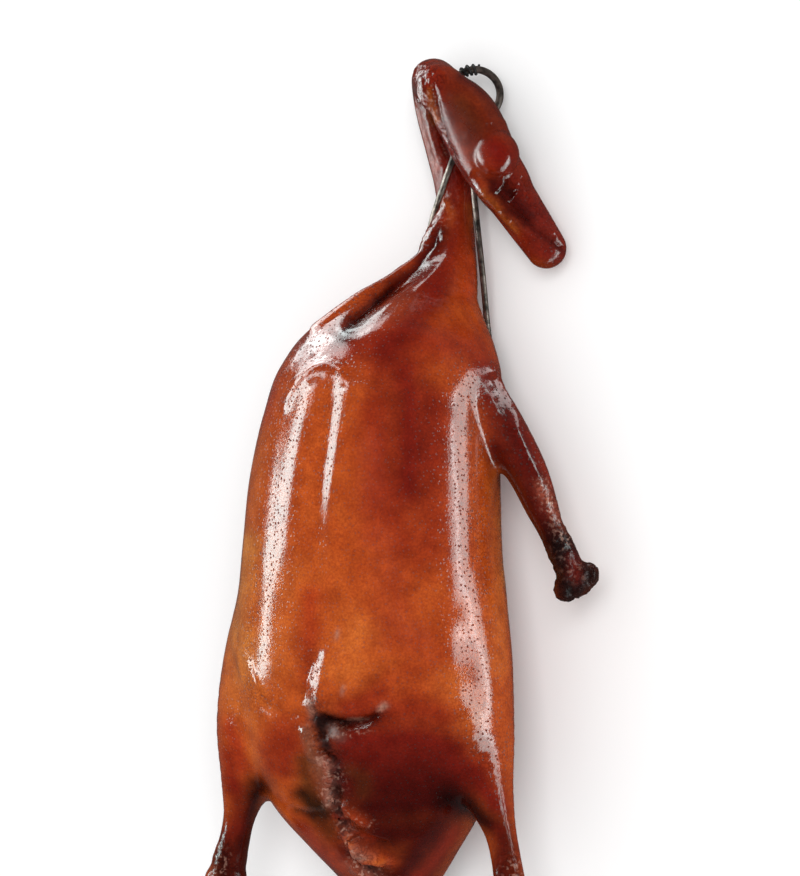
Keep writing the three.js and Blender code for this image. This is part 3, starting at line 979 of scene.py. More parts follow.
TORN = (
    Stroke(((-70, -71), (-66, -84), (-62, -93)), 2.6, 0.5),
    Stroke(((-60, -88), (-56, -99)), 3.4),
    Stroke(((-58, -106), (-55, -118)), 4.0),
    Stroke(((-50, -97), (-50, -108)), 4.0, 0.6),
    Stroke(((-54, -72), (-44, -74), (-34, -70)), 2.6, 0.7),
    Stroke(((-48.6, -115), (-40, -124), (-32, -128)), 3.0, 0.6),
    Stroke(((-48, -130), (-42, -140), (-36, -146)), 3.4, 0.9),
    Stroke(((-40, -152), (-30, -161), (-20, -166)), 5.0),
    Stroke(((2, 298), (8, 278), (14, 260)), 2.6, 0.6),
    Stroke(((12, 238), (8, 224)), 6.0, 0.4),
    Stroke(WING_TEAR, 4.6),
    Stroke(((78, 34), (84, 18), (92, 16)), 5.0, 0.35),
    Stroke(((-121, -156), (-119, -180)), 6.0, 0.6),
    Stroke(((50, -150), (52, -180)), 6.0, 0.6),
)
DULL = (
    Stroke(WING_STUB, 10.0, 0.4),
    Stroke(SEAM_LINE, 6.0, 0.6),
    Stroke(((-58, -71), (-48, -76)), 4.0, 0.8),
    Stroke(SKULL_LINE, 11.0, 0.55),
    Stroke(((-6, 288), (0, 268), (8, 244)), 7.0, 0.75),
    Stroke(((62, 226), (78, 202)), 10.0, 0.25),
)
PLUCKED = (
    Stroke(((-75, 124), (-82, 88), (-90, 30), (-98, -20), (-99, -54)), 10.0),
    Stroke(((-50, 136), (-53, 105), (-58, 60)), 6.0, 0.9),
    Stroke(((24, 128), (24, 60), (27, 0), (26, -50), (38, -86)), 12.0),
    Stroke(((-30, 186), (-74, 142)), 9.0, 0.8),
    Stroke(((40, 132), (47, 108), (56, 84)), 7.0),
    Stroke(((-63, -30), (-64, -54)), 6.0),
)
PUCKERS = (
    Pucker(((-8, 312), (-1, 310), (6, 304)), 6.5, 1.5, 4.2, 11),
    Pucker(((-4.7, 305), (0, 289.6), (4, 272), (9, 254.5)), 6.5, 1.0, (3.2, 9.0, 3.2), 12),
    Pucker(SEAM_LINE, 7.5, 2.2, 6.0, 13),
    Pucker(SEAM_LINE, 9.5, 0.7, 2.4, 23),
    Pucker(WING_TEAR, 6.0, 1.1, (3.0, 6.0, 3.0), 14),
    Pucker(WING_STUB, 9.0, 2.0, 6.4, 15),
    Pucker(WING_STUB, 12.0, 0.8, 2.6, 24),
    Pucker(((60, 228), (82, 200)), 9.0, 0.30, 2.4, 16),
    Pucker(((54, 240), (64, 226), (72, 214)), 5.0, 0.9, 3.6, 25),
    Pucker(((30, 240), (40, 230), (52, 219)), 4.0, 0.6, (3.0, 3.0, 3.0), 26),
    Pucker(((11, 240), (7, 224), (2, 212)), 7.0, 0.8, (2.8, 8.0, 2.8), 17),
    Pucker(((14, 246), (16, 226)), 5.0, 0.6, 3.0, 27),
    Pucker(((-84, 133), (-68, 139), (-52, 134)), 7.0, 0.5, 3.0, 18),
    Pucker(((-92, -82), (-84, -112)), 12.0, 0.22, (2.2, 11.0, 2.2), 19),
    Pucker(((-121, -152), (-120, -176)), 9.0, 1.2, 4.6, 20),
    Pucker(((48, -150), (50, -176)), 8.0, 1.0, 4.6, 21),
    Pucker(((46, 247), (56, 240)), 4.0, 0.8, 2.6, 22),
    Pucker(((-110, -20), (-104, -45)), 6.0, 0.35, (3.0, 12.0, 3.0), 28),
    Pucker(((-45, -146), (-30, -158), (-20, -166)), 8.0, 1.2, 3.4, 29),
)

# Tone strokes: the roast's own colours, with painted shade in creases, the seam and the lower belly, and
# painted glints
STAINS_AND_PAINTED_LIGHT = (
    ToneStroke(Tone.BURNT, ((-30, 110), (-31, 40)), 9.0, 0.9),
    ToneStroke(Tone.BURNT, ((-18, 60), (-20, -10), (2, -30)), 15.0, 0.75),
    ToneStroke(Tone.RED, ((-26, 150), (-27, 90), (-22, 60), (-14, 36)), 10.0, 0.6),
    ToneStroke(Tone.RED, ((8, 110), (6, 60), (2, 30)), 14.0, 0.75),
    ToneStroke(Tone.DARK_RED, ((-12, 134), (-11, 100), (-10, 66)), 13.0, 0.95),
    ToneStroke(Tone.DARK_RED, ((2, 118), (0, 84)), 10.0, 0.6),
    ToneStroke(Tone.RED, ((-70, 148), (-45, 147), (-10, 152), (25, 148), (40, 128)), 15.0, 0.85),
    ToneStroke(Tone.DARK_RED, ((-22, 146), (-6, 164), (6, 182)), 11.0, 0.85),
    ToneStroke(Tone.DARK_RED, ((34, 134), (37, 116)), 6.0, 0.8),
    ToneStroke(Tone.BURNT, ((38, 106), (40, 90)), 6.0, 0.7),
    ToneStroke(Tone.BURNT, ((15, 60), (18, 10)), 6.0, 0.5),
    ToneStroke(Tone.AMBER, ((42, 74), (43, 20), (41, -40)), 6.0, 0.7),
    ToneStroke(Tone.HONEY, ((45, 60), (47, 10)), 2.4, 0.6),
    ToneStroke(Tone.RED_ORANGE, ((-92, 140), (-97, 112)), 7.0, 0.9),
    ToneStroke(Tone.AMBER, ((-98, 92), (-102, 60), (-104, 30)), 8.0, 0.6),
    ToneStroke(Tone.RED, ((-94, 138), (-100, 105)), 4.0, 0.6),
    ToneStroke(Tone.HONEY, ((-104, 34), (-107, -5), (-114, -30)), 8.0, 0.95),
    ToneStroke(Tone.AMBER, ((-116, -28), (-117, -66)), 7.0, 0.8),
    ToneStroke(Tone.AMBER, ((-90, 14), (-95, -30), (-104, -58)), 16.0, 0.95),
    ToneStroke(Tone.HONEY, ((-104, -22), (-106, -42)), 9.0, 0.5),
    ToneStroke(Tone.AMBER, ((-40, -12), (-46, -36)), 11.0, 0.8),
    ToneStroke(Tone.AMBER, ((14, -44), (18, -62)), 10.0, 0.6),
    ToneStroke(Tone.AMBER, ((26, -66), (27, -78)), 6.0, 0.8),
    ToneStroke(Tone.RED_ORANGE, ((-66, 4), (-67, -20)), 6.0, 0.7),
    ToneStroke(Tone.RED, ((-68, -24), (-70, -46)), 6.0, 0.6),
    ToneStroke(Tone.BURNT, ((-30, -46), (-10, -38)), 5.0, 0.5),
    ToneStroke(Tone.RED, ((-46, -58), (-26, -50)), 6.0, 0.75),
    ToneStroke(Tone.RED_ORANGE, ((-84, -72), (-96, -84)), 10.0, 0.6),
    ToneStroke(Tone.RED, ((-80, -88), (-88, -96), (-88, -84)), 8.0, 0.7),
    ToneStroke(Tone.RED_ORANGE, ((-115, -74), (-108, -98)), 6.0, 0.9),
    ToneStroke(Tone.RED, ((-117, -92), (-112, -112)), 6.0, 0.9),
    ToneStroke(Tone.AMBER, ((-103, -70), (-100, -92)), 5.0, 0.6),
    ToneStroke(Tone.RED, ((-44, -64), (-12, -58), (8, -62)), 10.0, 0.8),
    # Going dark towards the tail: partly the roast's own colour, partly painted shade where the belly turns
    # down from the light
    ToneStroke(Tone.DARK_RED, ((-46, -78), (-10, -76), (14, -82)), 14.0, 0.97),
    ToneStroke(Tone.DARK_RED, ((-44, -88), (-8, -87), (16, -92)), 12.0, 0.95),
    ToneStroke(Tone.DEEP_RED, ((-44, -98), (-10, -97), (14, -101)), 15.0, 0.97),
    ToneStroke(Tone.DEEP_RED, ((-44, -108), (-10, -106), (10, -109)), 12.0, 0.95),
    ToneStroke(Tone.MAROON, ((-30, -118), (0, -114), (14, -116)), 14.0, 0.97),
    ToneStroke(Tone.MAROON, ((-26, -134), (0, -134), (-10, -150), (-20, -172)), 20.0, 0.98),
    ToneStroke(Tone.DEEP_RED, ((-46, -146), (-60, -168), (-50, -176)), 14.0, 0.9),
    ToneStroke(Tone.RED, ((-72, -134), (-64, -146), (-56, -154)), 7.0, 0.8),
    ToneStroke(Tone.RED, ((30, -72), (34, -90), (44, -118)), 6.0, 0.5),
    ToneStroke(Tone.DARK_RED, ((26, -94), (40, -114)), 9.0, 0.95),
    # Painted shadow in the crotch on the inner side of the left leg
    ToneStroke(Tone.BLACK_RED, ((12, -112), (24, -117), (36, -126)), 8.5, 0.97),
    ToneStroke(Tone.DEEP_RED, ((42, -130), (44, -160)), 7.0, 0.9),
    ToneStroke(Tone.MAROON, ((8, -130), (8, -146), (-2, -164)), 8.0, 0.8),
    ToneStroke(Tone.RED, ((-4, -160), (8, -146), (16, -134)), 5.0, 0.75),
    # Painted shadow along the inner side of the right leg, where it meets the belly
    ToneStroke(Tone.BLACK_RED, ((-98, -110), (-104, -122), (-109, -150), (-110, -170)), 9.0, 0.97),
    ToneStroke(Tone.DEEP_RED, ((-118, -142), (-118, -170)), 10.0, 0.9),
    ToneStroke(Tone.DARK_RED, ((-113, -108), (-112, -136)), 6.0, 0.6),
    ToneStroke(Tone.BURNT, ((-78, -70), (-80, -96)), 8.0, 0.6),
    ToneStroke(Tone.RED, ((-80, -78), (-82, -96)), 6.0, 0.7),
    ToneStroke(Tone.OLIVE, ((-70, -92), (-68, -106), (-62, -118)), 7.0, 0.85),
    # Painted shadow beside the seam, and a black painted shade line along the crease below it
    ToneStroke(Tone.DARK_OLIVE, ((-72, -112), (-66, -117), (-58, -120)), 5.6, 0.95),
    ToneStroke(Tone.DARK_OLIVE, ((-66, -124), (-56, -132)), 7.0, 0.7),
    ToneStroke(Tone.SOOT_AND_CREASE_SHADE, ((-78, -123), (-66, -124.6), (-54, -124)), 1.8, 0.6),
    ToneStroke(Tone.OLIVE, ((-44, -94), (-37, -99), (-36, -108)), 5.0, 0.5),
    ToneStroke(Tone.GREY_SKIN, ((-69.6, -71), (-67, -80), (-64, -90)), 3.4, 0.8),
    # Painted shade in the core of the fold across the top of the seam
    ToneStroke(Tone.MAROON, ((-62, -66), (-50, -69), (-36, -68), (-28, -64)), 3.4, 0.8),
    ToneStroke(Tone.BLACK_RED, ((-58, -66), (-50, -68.6)), 3.4, 0.9),
    ToneStroke(Tone.GREY_SKIN, ((-56, -73), (-48, -75)), 2.4, 0.5),
    # Painted shade along the seam's groove
    ToneStroke(Tone.MAROON, SEAM_LINE, 4.2, 0.45),
    ToneStroke(Tone.BLACK_RED, ((-60, -70), (-57, -79)), 2.8, 0.8),
    ToneStroke(Tone.DEEP_RED, ((-52, -88), (-50, -100)), 3.4, 0.7),
    ToneStroke(Tone.FLESH_PINK, ((-60, -88), (-56, -99)), 2.8, 0.8),
    ToneStroke(Tone.BURNT, ((-57, -96), (-55.4, -100)), 1.8, 0.7),
    ToneStroke(Tone.GREY_SKIN, ((-62, -96), (-58, -106)), 4.0, 0.7),
    ToneStroke(Tone.FLESH_PINK, ((-57.4, -107), (-55, -117)), 2.8, 0.85),
    ToneStroke(Tone.BURNT, ((-48.6, -115.2), (-43.3, -120.5), (-34, -126.6)), 2.8, 0.8),
    # Painted shade where a crease starts beside the seam
    ToneStroke(Tone.BLACK_RED, ((-50, -120), (-48, -126)), 3.0, 0.6),
    ToneStroke(Tone.RED, ((-47, -126), (-40, -134), (-30, -138)), 2.0, 0.7),
    ToneStroke(Tone.BURNT, ((-46, -131), (-42, -140), (-34, -147), (-22, -150)), 4.0, 0.9),
    ToneStroke(Tone.AMBER, ((-45, -134), (-41, -141), (-33, -147), (-24, -149.6)), 2.0, 0.7),
    ToneStroke(Tone.FLESH_PINK, ((-38, -143), (-30, -147)), 2.2, 0.7),
    ToneStroke(Tone.RED_ORANGE, ((-46, -137), (-40, -147), (-30, -152)), 1.8, 0.7),
    ToneStroke(Tone.FLESH_PINK, ((-44, -153), (-36, -158), (-26, -164)), 3.6, 0.7),
    ToneStroke(Tone.BURNT, ((-54, -150), (-50, -156)), 5.0, 0.7),
    # Painted highlights: pale glints on the seam's wet lumps and folds
    ToneStroke(Tone.PAINTED_GLINT, ((-66, -57), (-66, -63)), 2.6, 0.7),
    ToneStroke(Tone.PAINTED_GLINT, ((-26.4, -60.4), (-24.4, -58)), 1.6, 0.9),
    ToneStroke(Tone.FLESH_PINK, ((-61, -90.6), (-55, -92)), 2.0, 0.8),
    ToneStroke(Tone.FLESH_PINK, ((-58, -101.4), (-53, -102.6)), 2.2, 0.8),
    ToneStroke(Tone.FLESH_PINK, ((-57, -112.4), (-51, -112.8)), 2.2, 0.7),
    ToneStroke(Tone.RED, ((-52, -123.4), (-46, -124.6)), 2.2, 0.8),
    # More painted highlights: pale glints on the seam's lumps and the ridge above it
    ToneStroke(Tone.PAINTED_GLINT, ((-61.6, -88), (-60.6, -91)), 1.5, 0.9),
    ToneStroke(Tone.PAINTED_GLINT, ((-56.6, -94), (-55.6, -98)), 1.3, 0.7),
    ToneStroke(Tone.PAINTED_GLINT, ((-57, -109), (-55.6, -116)), 1.8, 0.8),
    ToneStroke(Tone.PAINTED_GLINT, ((-40.6, -143), (-34, -146.4)), 1.4, 0.7),
    ToneStroke(Tone.PAINTED_GLINT, ((-46.6, -66.4), (-38, -66.8)), 1.2, 0.6),
    ToneStroke(Tone.PAINTED_GLINT, ((-51.4, -14), (-52.4, -18)), 1.2, 0.6),
    ToneStroke(Tone.PAINTED_GLINT, ((-47.6, -46), (-48.4, -50)), 1.2, 0.6),
    ToneStroke(Tone.DARK_RED, ((3, 186), (14, 212), (16, 240), (10, 270), (0, 304)), 17.0, 0.95),
    ToneStroke(Tone.RED_ORANGE, ((25, 178), (25, 200)), 6.0, 0.6),
    ToneStroke(Tone.RED_ORANGE, ((8, 202), (14, 222)), 3.4, 0.5),
    ToneStroke(Tone.AMBER, ((12, 236), (16, 228), (12, 214)), 2.6, 0.4),
    ToneStroke(Tone.JAW_AMBER, ((26, 232), (28, 220)), 2.4, 0.6),
    # Painted shade in the valley between the shoulder ridges
    ToneStroke(Tone.RED, SHOULDER_VALLEY.line, 11.0, 0.8),
    ToneStroke(Tone.MAROON, SHOULDER_VALLEY.line, 6.0, 0.95),
    ToneStroke(Tone.BLACK_RED, ((-20, 181), (-33, 169), (-46, 156)), 3.0, 0.8),
    ToneStroke(Tone.SKULL_BROWN, ((14, 298), (34, 274), (52, 246), (74, 210)), 26.0, 1.0),
    # Painted shade in the slot between the neck's skin and the skull
    ToneStroke(Tone.DARK_RED, ((4, 302), (8, 284), (14, 262), (18, 250)), 5.0, 0.85),
    ToneStroke(Tone.RED, ((-8, 312), (4, 306)), 8.0, 0.7),
    ToneStroke(Tone.BURNT, ((-5, 292), (1, 274), (7, 256)), 3.0, 0.6),
    ToneStroke(Tone.JAW_AMBER, ((3, 296), (6, 280)), 1.8, 0.6),
    ToneStroke(Tone.SKULL_OLIVE, ((20, 290), (30, 278), (34, 268)), 6.0, 0.4),
    ToneStroke(Tone.MAROON, ((22, 306), (38, 294), (48, 280), (56, 266)), 5.0, 0.8),
    ToneStroke(Tone.DARK_RED, ((56, 262), (64, 246), (76, 222)), 4.0, 0.8),
    ToneStroke(Tone.EYE_RED, ((40, 262), (42, 259)), 11.0, 0.97),
    ToneStroke(Tone.RED, ((33, 262), (36, 254)), 4.0, 0.5),
    # Painted shade in the crease under the eye
    ToneStroke(Tone.MAROON, ((27, 250), (34, 244.6), (43, 243), (51, 247)), 2.6, 0.7),
    ToneStroke(Tone.BURNT, ((22, 262), (28, 250), (36, 238)), 3.0, 0.6),
    ToneStroke(Tone.BILL_RED, ((52, 240), (64, 226), (76, 208)), 9.0, 0.9),
    ToneStroke(Tone.JAW_AMBER, ((33, 238), (43, 228), (54, 217)), 2.2, 0.6),
    ToneStroke(Tone.DARK_RED, ((28, 238), (38, 228), (52, 212), (62, 202)), 2.4, 0.7),
    ToneStroke(Tone.DARK_RED, ((60, 212), (68, 203), (76, 202)), 6.0, 0.7),
    # Painted shade in the hollow between the eye and the bill
    ToneStroke(Tone.MAROON, ((40, 241), (50, 235), (58, 226)), 5.0, 0.9),
    ToneStroke(Tone.MAROON, MOUTH_LINE, 1.8, 0.6),
    ToneStroke(Tone.DARK_RED, ((18, 252), (26, 240)), 5.0, 0.7),
    ToneStroke(Tone.WING_RED, ((46, 112), (60, 84), (72, 56), (84, 26)), 17.0, 1.0),
    ToneStroke(Tone.DEEP_RED, ((50, 94), (62, 66), (74, 42)), 10.0, 0.85),
    ToneStroke(Tone.DARK_RED, ((38, 88), (46, 78)), 5.0, 0.8),
    ToneStroke(Tone.RED, ((60, 98), (74, 66)), 3.0, 0.6),
    ToneStroke(Tone.MAROON, ((40, 88), (52, 66), (64, 46), (72, 34)), 5.0, 0.8),
    ToneStroke(Tone.FLESH_PINK, WING_TEAR, 3.8, 0.8),
    ToneStroke(Tone.BLACK_RED, WING_STUB, 14.0, 0.98),
    ToneStroke(Tone.SOOT_AND_CREASE_SHADE, WING_STUB, 9.0, 0.4),
    ToneStroke(Tone.DARK_RED, ((84, 24), (86, 14)), 3.4, 0.6),
    ToneStroke(Tone.SOOT_AND_CREASE_SHADE, ((-121, -156), (-119, -180)), 8.0, 0.7),
    ToneStroke(Tone.MAROON, ((48, -138), (50, -176)), 8.0, 0.8),
    ToneStroke(Tone.BURNT, ((52, -130), (54, -150)), 3.0, 0.6),
)


@dataclass
class Skin:
    """The duck's surface with what its folds and colours are worked out from."""

    points: Array
    normals: Array
    across: Array = field(init=False)
    y: Array = field(init=False)
    facing: Array = field(init=False)

    def __post_init__(self) -> None:
        """Works out where each vertex lies on the shown side and whether it faces out of it."""
        self.across = self.points @ ACROSS
        self.y = self.points[:, 1]
        self.facing = rise(0.0, 0.4, self.normals @ OUT)


@dataclass
class RoastDuck:
    """The duck in one unbroken skin.

    Trunk, neck, head and limbs run into each other, which no single sheet of two parameters
    can follow, so the skin is the zero surface of a field, worked out as whole arrays. Finer
    folds, ridges and crinkles then move its vertices along their normals.
    """

    trunk: Trunk = Trunk()
    neck: Limb = NECK
    shoulder_ridge: Limb = SHOULDER_RIDGE
    legs: tuple[Limb, ...] = (LEFT_LEG, RIGHT_LEG)
    wings: tuple[Limb, ...] = (SPREAD_WING, FOLDED_WING)
    head: Head = Head()
    knobs: tuple[Lump, ...] = (
        Lump((80.2, 8.0, 90.0), (6.0, 7.0, 7.4), -0.6),
        Lump((92.6, 16.0, 90.0), (6.6, 7.0, 7.4), -0.6),
        Lump((86.6, 11.6, 88.0), (8.6, 8.0, 8.0), 0.5),
        Lump((-93.0, 3.6, -30.0), (6.6, 6.8, 6.8)),
        Lump((-83.6, 5.6, -31.0), (6.4, 6.6, 6.6)),
        Lump((44.6, -168.6, 107.0), (7.0, 7.6, 7.4)),
        Lump((54.6, -168.0, 106.0), (6.6, 7.4, 7.2)),
        Lump((-124.4, -168.8, 14.0), (7.4, 8.0, 7.8)),
        Lump((-113.6, -169.6, 15.5), (7.0, 7.6, 7.4)),
    )
    neck_fillet: float = 24.0
    ridge_fillet: float = 2.5
    leg_fillet: float = 10.0
    wing_fillet: float = 6.5
    knob_fillet: float = 4.0
    head_fillet: float = 5.0
    floor_fillet: float = 2.0
    bank_height: float = 4.1
    bank_width: float = 12.5
    bank_end: float = 62.0
    plump_width: float = 11.0
    plump_end: float = 27.0
    stitch_spacing: float = 12.4
    paint_wobble: float = 3.2
    paint_wobble_size: float = 15.0

    def hollows(self, points: Array) -> Array:
        """The valley between the shoulder ridges and the furrow of the seam, as depth.

        Args:
            points: Places, one row each.

        Returns:
            What is added to the field at each place.
        """
        cut = np.zeros(len(points))
        shoulder = np.flatnonzero((points @ OUT > 25.0) & (points[:, 1] > 135.0))
        places = points[shoulder]
        front = rise(30.0, 55.0, places @ OUT)
        cut[shoulder] = front * SHOULDER_VALLEY.cut(places @ ACROSS, places[:, 1])
        belly = np.flatnonzero((points @ OUT > 40.0) & (points[:, 1] < -40.0))
        places = points[belly]
        front = rise(45.0, 70.0, places @ OUT)
        stitched = 0.66 + 0.34 * np.cos(places[:, 1] * 2.0 * math.pi / self.stitch_spacing)
        cut[belly] += front * stitched * SEAM_VALLEY.cut(places @ ACROSS, places[:, 1])
        return cut

    def flesh(self, points: Array) -> Array:
        """The whole duck's field, flat where it lies on the table.

        Args:
            points: Places, one row each.

        Returns:
            The field at each place.
        """
        made = smooth_min(
            self.trunk.distance(points), self.neck.distance(points), self.neck_fillet
        )
        made = made + self.hollows(points)
        made = smooth_min(made, self.shoulder_ridge.distance(points), self.ridge_fillet)
        for leg in self.legs:
            made = smooth_min(made, leg.distance(points), self.leg_fillet)
        for wing in self.wings:
            made = smooth_min(made, wing.distance(points), self.wing_fillet)
        for knob in self.knobs:
            made = smooth_min(made, knob.distance(points), self.knob_fillet)
        made = smooth_min(made, self.head.distance(points), self.head_fillet)
        return -smooth_min(-made, points[:, 2], self.floor_fillet)

    def keel_bank(self, skin: Skin) -> Array:
        """The step along the breastbone: a steep bank on its left and a long fall behind it.

        Args:
            skin: The surface.

        Returns:
            How far the skin stands out at each vertex.
        """
        _, side, share = reach_along(np.array(KEEL_LINE), skin.across, skin.y)
        height = self.bank_height * rise(0.0, 0.06, share) * (0.8 + 0.2 * rise(0.06, 0.26, share))
        height = height * (1.0 - 0.92 * rise(0.3, 0.85, share))
        height = height * (1.0 - rise(0.9, 1.0, share))
        fall = 1.0 - rise(self.bank_width + 2.0, self.bank_end, side)
        bank = rise(0.0, self.bank_width, side) * fall
        plump = 0.42 * rise(0.0, self.plump_width, -side)
        plump = plump * (1.0 - rise(self.plump_width, self.plump_end, -side))
        crease = 0.3 * np.exp(-np.abs(side) / 1.5) * (1.0 - rise(0.8, 1.0, share))
        return height * (bank + plump) - crease * (0.4 + height / self.bank_height)

    def relief(self, skin: Skin) -> Array:
        """All folds, ridges and crinkles of the skin.

        Args:
            skin: The surface.

        Returns:
            How far the skin stands out at each vertex, in millimetres.
        """
        stand = self.keel_bank(skin)
        for fold in FOLDS:
            stand = stand - fold.cut(skin.across, skin.y)
        for pucker in PUCKERS:
            stand = stand + pucker.stand(skin.points, skin.across, skin.y)
        fine = 0.10 * crumple(skin.points, size=11.0, seed=31)
        broad = 0.28 * mottle(skin.points, size=34.0, seed=35)
        return stand * skin.facing + (fine + broad)

    def colours(self, skin: Skin, stand: Array) -> Array:
        """The roast's colours: tone strokes with painted shade and glints among them, mottled reds
        elsewhere.

        Args:
            skin: The surface before its relief.
            stand: The relief at each vertex.

        Returns:
            A linear colour for each vertex.
        """
        across = skin.across + self.paint_wobble * crumple(skin.points, self.paint_wobble_size, seed=41)
        y = skin.y + self.paint_wobble * crumple(skin.points, self.paint_wobble_size, seed=42)
        front = rise(-0.35, 0.2, skin.normals @ OUT)[:, None]
        shown_side = np.tile(Tone.ORANGE.linear, (len(y), 1))
        for tone_stroke in STAINS_AND_PAINTED_LIGHT:
            share = tone_stroke.weight(across, y)[:, None]
            shown_side = shown_side + share * (tone_stroke.tone.linear - shown_side)
        patches = rise(-0.5, 0.6, crumple(skin.points, size=48.0, seed=43))[:, None]
        hidden = Tone.RED.linear + patches * (Tone.RED_ORANGE.linear - Tone.RED.linear)
        ends = np.maximum(rise(-140.0, -165.0, y), rise(230.0, 262.0, y))
        ends = np.maximum(ends, rise(88.0, 96.0, np.abs(skin.points[:, 0])) * rise(46.0, 30.0, y))
        hidden = hidden + ends[:, None] * 0.75 * (Tone.MAROON.linear - hidden)
        tone = hidden + front * (shown_side - hidden)
        # Painted shade: the tone dims where the seam's furrow and the folds sink in
        sunk = SEAM_VALLEY.cut(skin.across, skin.y) * skin.facing - stand
        painted_crease_shade = 1.0 - 0.5 * rise(0.5, 5.0, sunk)
        blotches = 1.0 + 0.16 * crumple(skin.points, size=7.0, seed=44)
        blotches = blotches + 0.12 * crumple(skin.points, size=3.2, seed=45)
        return tone * (painted_crease_shade * blotches)[:, None]

    def gloss(self, skin: Skin) -> Array:
        """How lacquered each vertex is: less on charred stubs and in the torn seam."""
        return 1.0 - strongest(DULL, skin.across, skin.y) * skin.facing

    def pores(self, skin: Skin) -> Array:
        """How much the feather pores show: most on the flanks, little on head and limb ends."""
        neck = rise(225.0, 200.0, skin.y)
        legs = rise(-150.0, -120.0, skin.y)
        wing = 1.0 - rise(60.0, 75.0, skin.across) * rise(80.0, 50.0, skin.y)
        plucked = 0.3 + 1.2 * strongest(PLUCKED, skin.across, skin.y) * skin.facing
        return 0.12 + 0.88 * neck * legs * wing * plucked

    def lattice(self) -> Lattice:
        """The full lattice."""
        return Lattice()

    def make(self) -> bpy.types.Object:
        """The duck's mesh with its relief and its painted values."""
        grid = self.lattice().nodes()
        points, faces = zero_surface(grid, field_on(grid, self.flesh))
        points = settled(self.flesh, points)
        slope = slope_of(self.flesh, points)
        normals = slope / np.maximum(np.linalg.norm(slope, axis=1), 1e-6)[:, None]
        skin = Skin(points, normals)
        stand = self.relief(skin)
        resting = rise(0.0, 12.0, points[:, 2])
        moved = points + normals * (stand * resting)[:, None]
        moved[:, 2] = np.maximum(moved[:, 2], 0.0)
        piece = mesh_object("roast_duck", moved, faces)
        paint(piece, "tone", self.colours(skin, stand * skin.facing))
        paint(piece, "gloss", self.gloss(skin))
        paint(piece, "pores", self.pores(skin))
        for name, strokes in (("crinkle", CRINKLED), ("torn", TORN)):
            paint(piece, name, strongest(strokes, skin.across, skin.y) * skin.facing)
        return piece


# The hook

LEFT_PRONG = (
    tuple(shown(25.0, 284.0, 38.2)),
    tuple(shown(25.5, 268.0, 38.2)),
    tuple(shown(28.4, 240.0, 39.5)),
    tuple(shown(33.2, 195.0, 38.5)),
    (51.0, 146.0, 12.5),
    (58.0, 112.0, 8.5),
    (66.0, 90.0, 10.0),
    (74.0, 81.0, 18.0),
    (77.0, 83.0, 27.0),
)
RIGHT_PRONG = (
    tuple(shown(24.0, 284.0, 38.2)),
    tuple(shown(19.0, 268.0, 39.8)),
    tuple(shown(12.6, 250.0, 41.6)),
    tuple(shown(5.4, 229.0, 31.0)),
    tuple(shown(-1.5, 206.0, 18.0)),
    (-12.0, 184.0, 8.5),
    (-38.0, 140.0, 6.5),
    (-56.0, 110.0, 7.5),
    (-68.0, 88.0, 11.0),
    (-73.0, 80.0, 18.0),
    (-75.0, 83.0, 24.0),
)


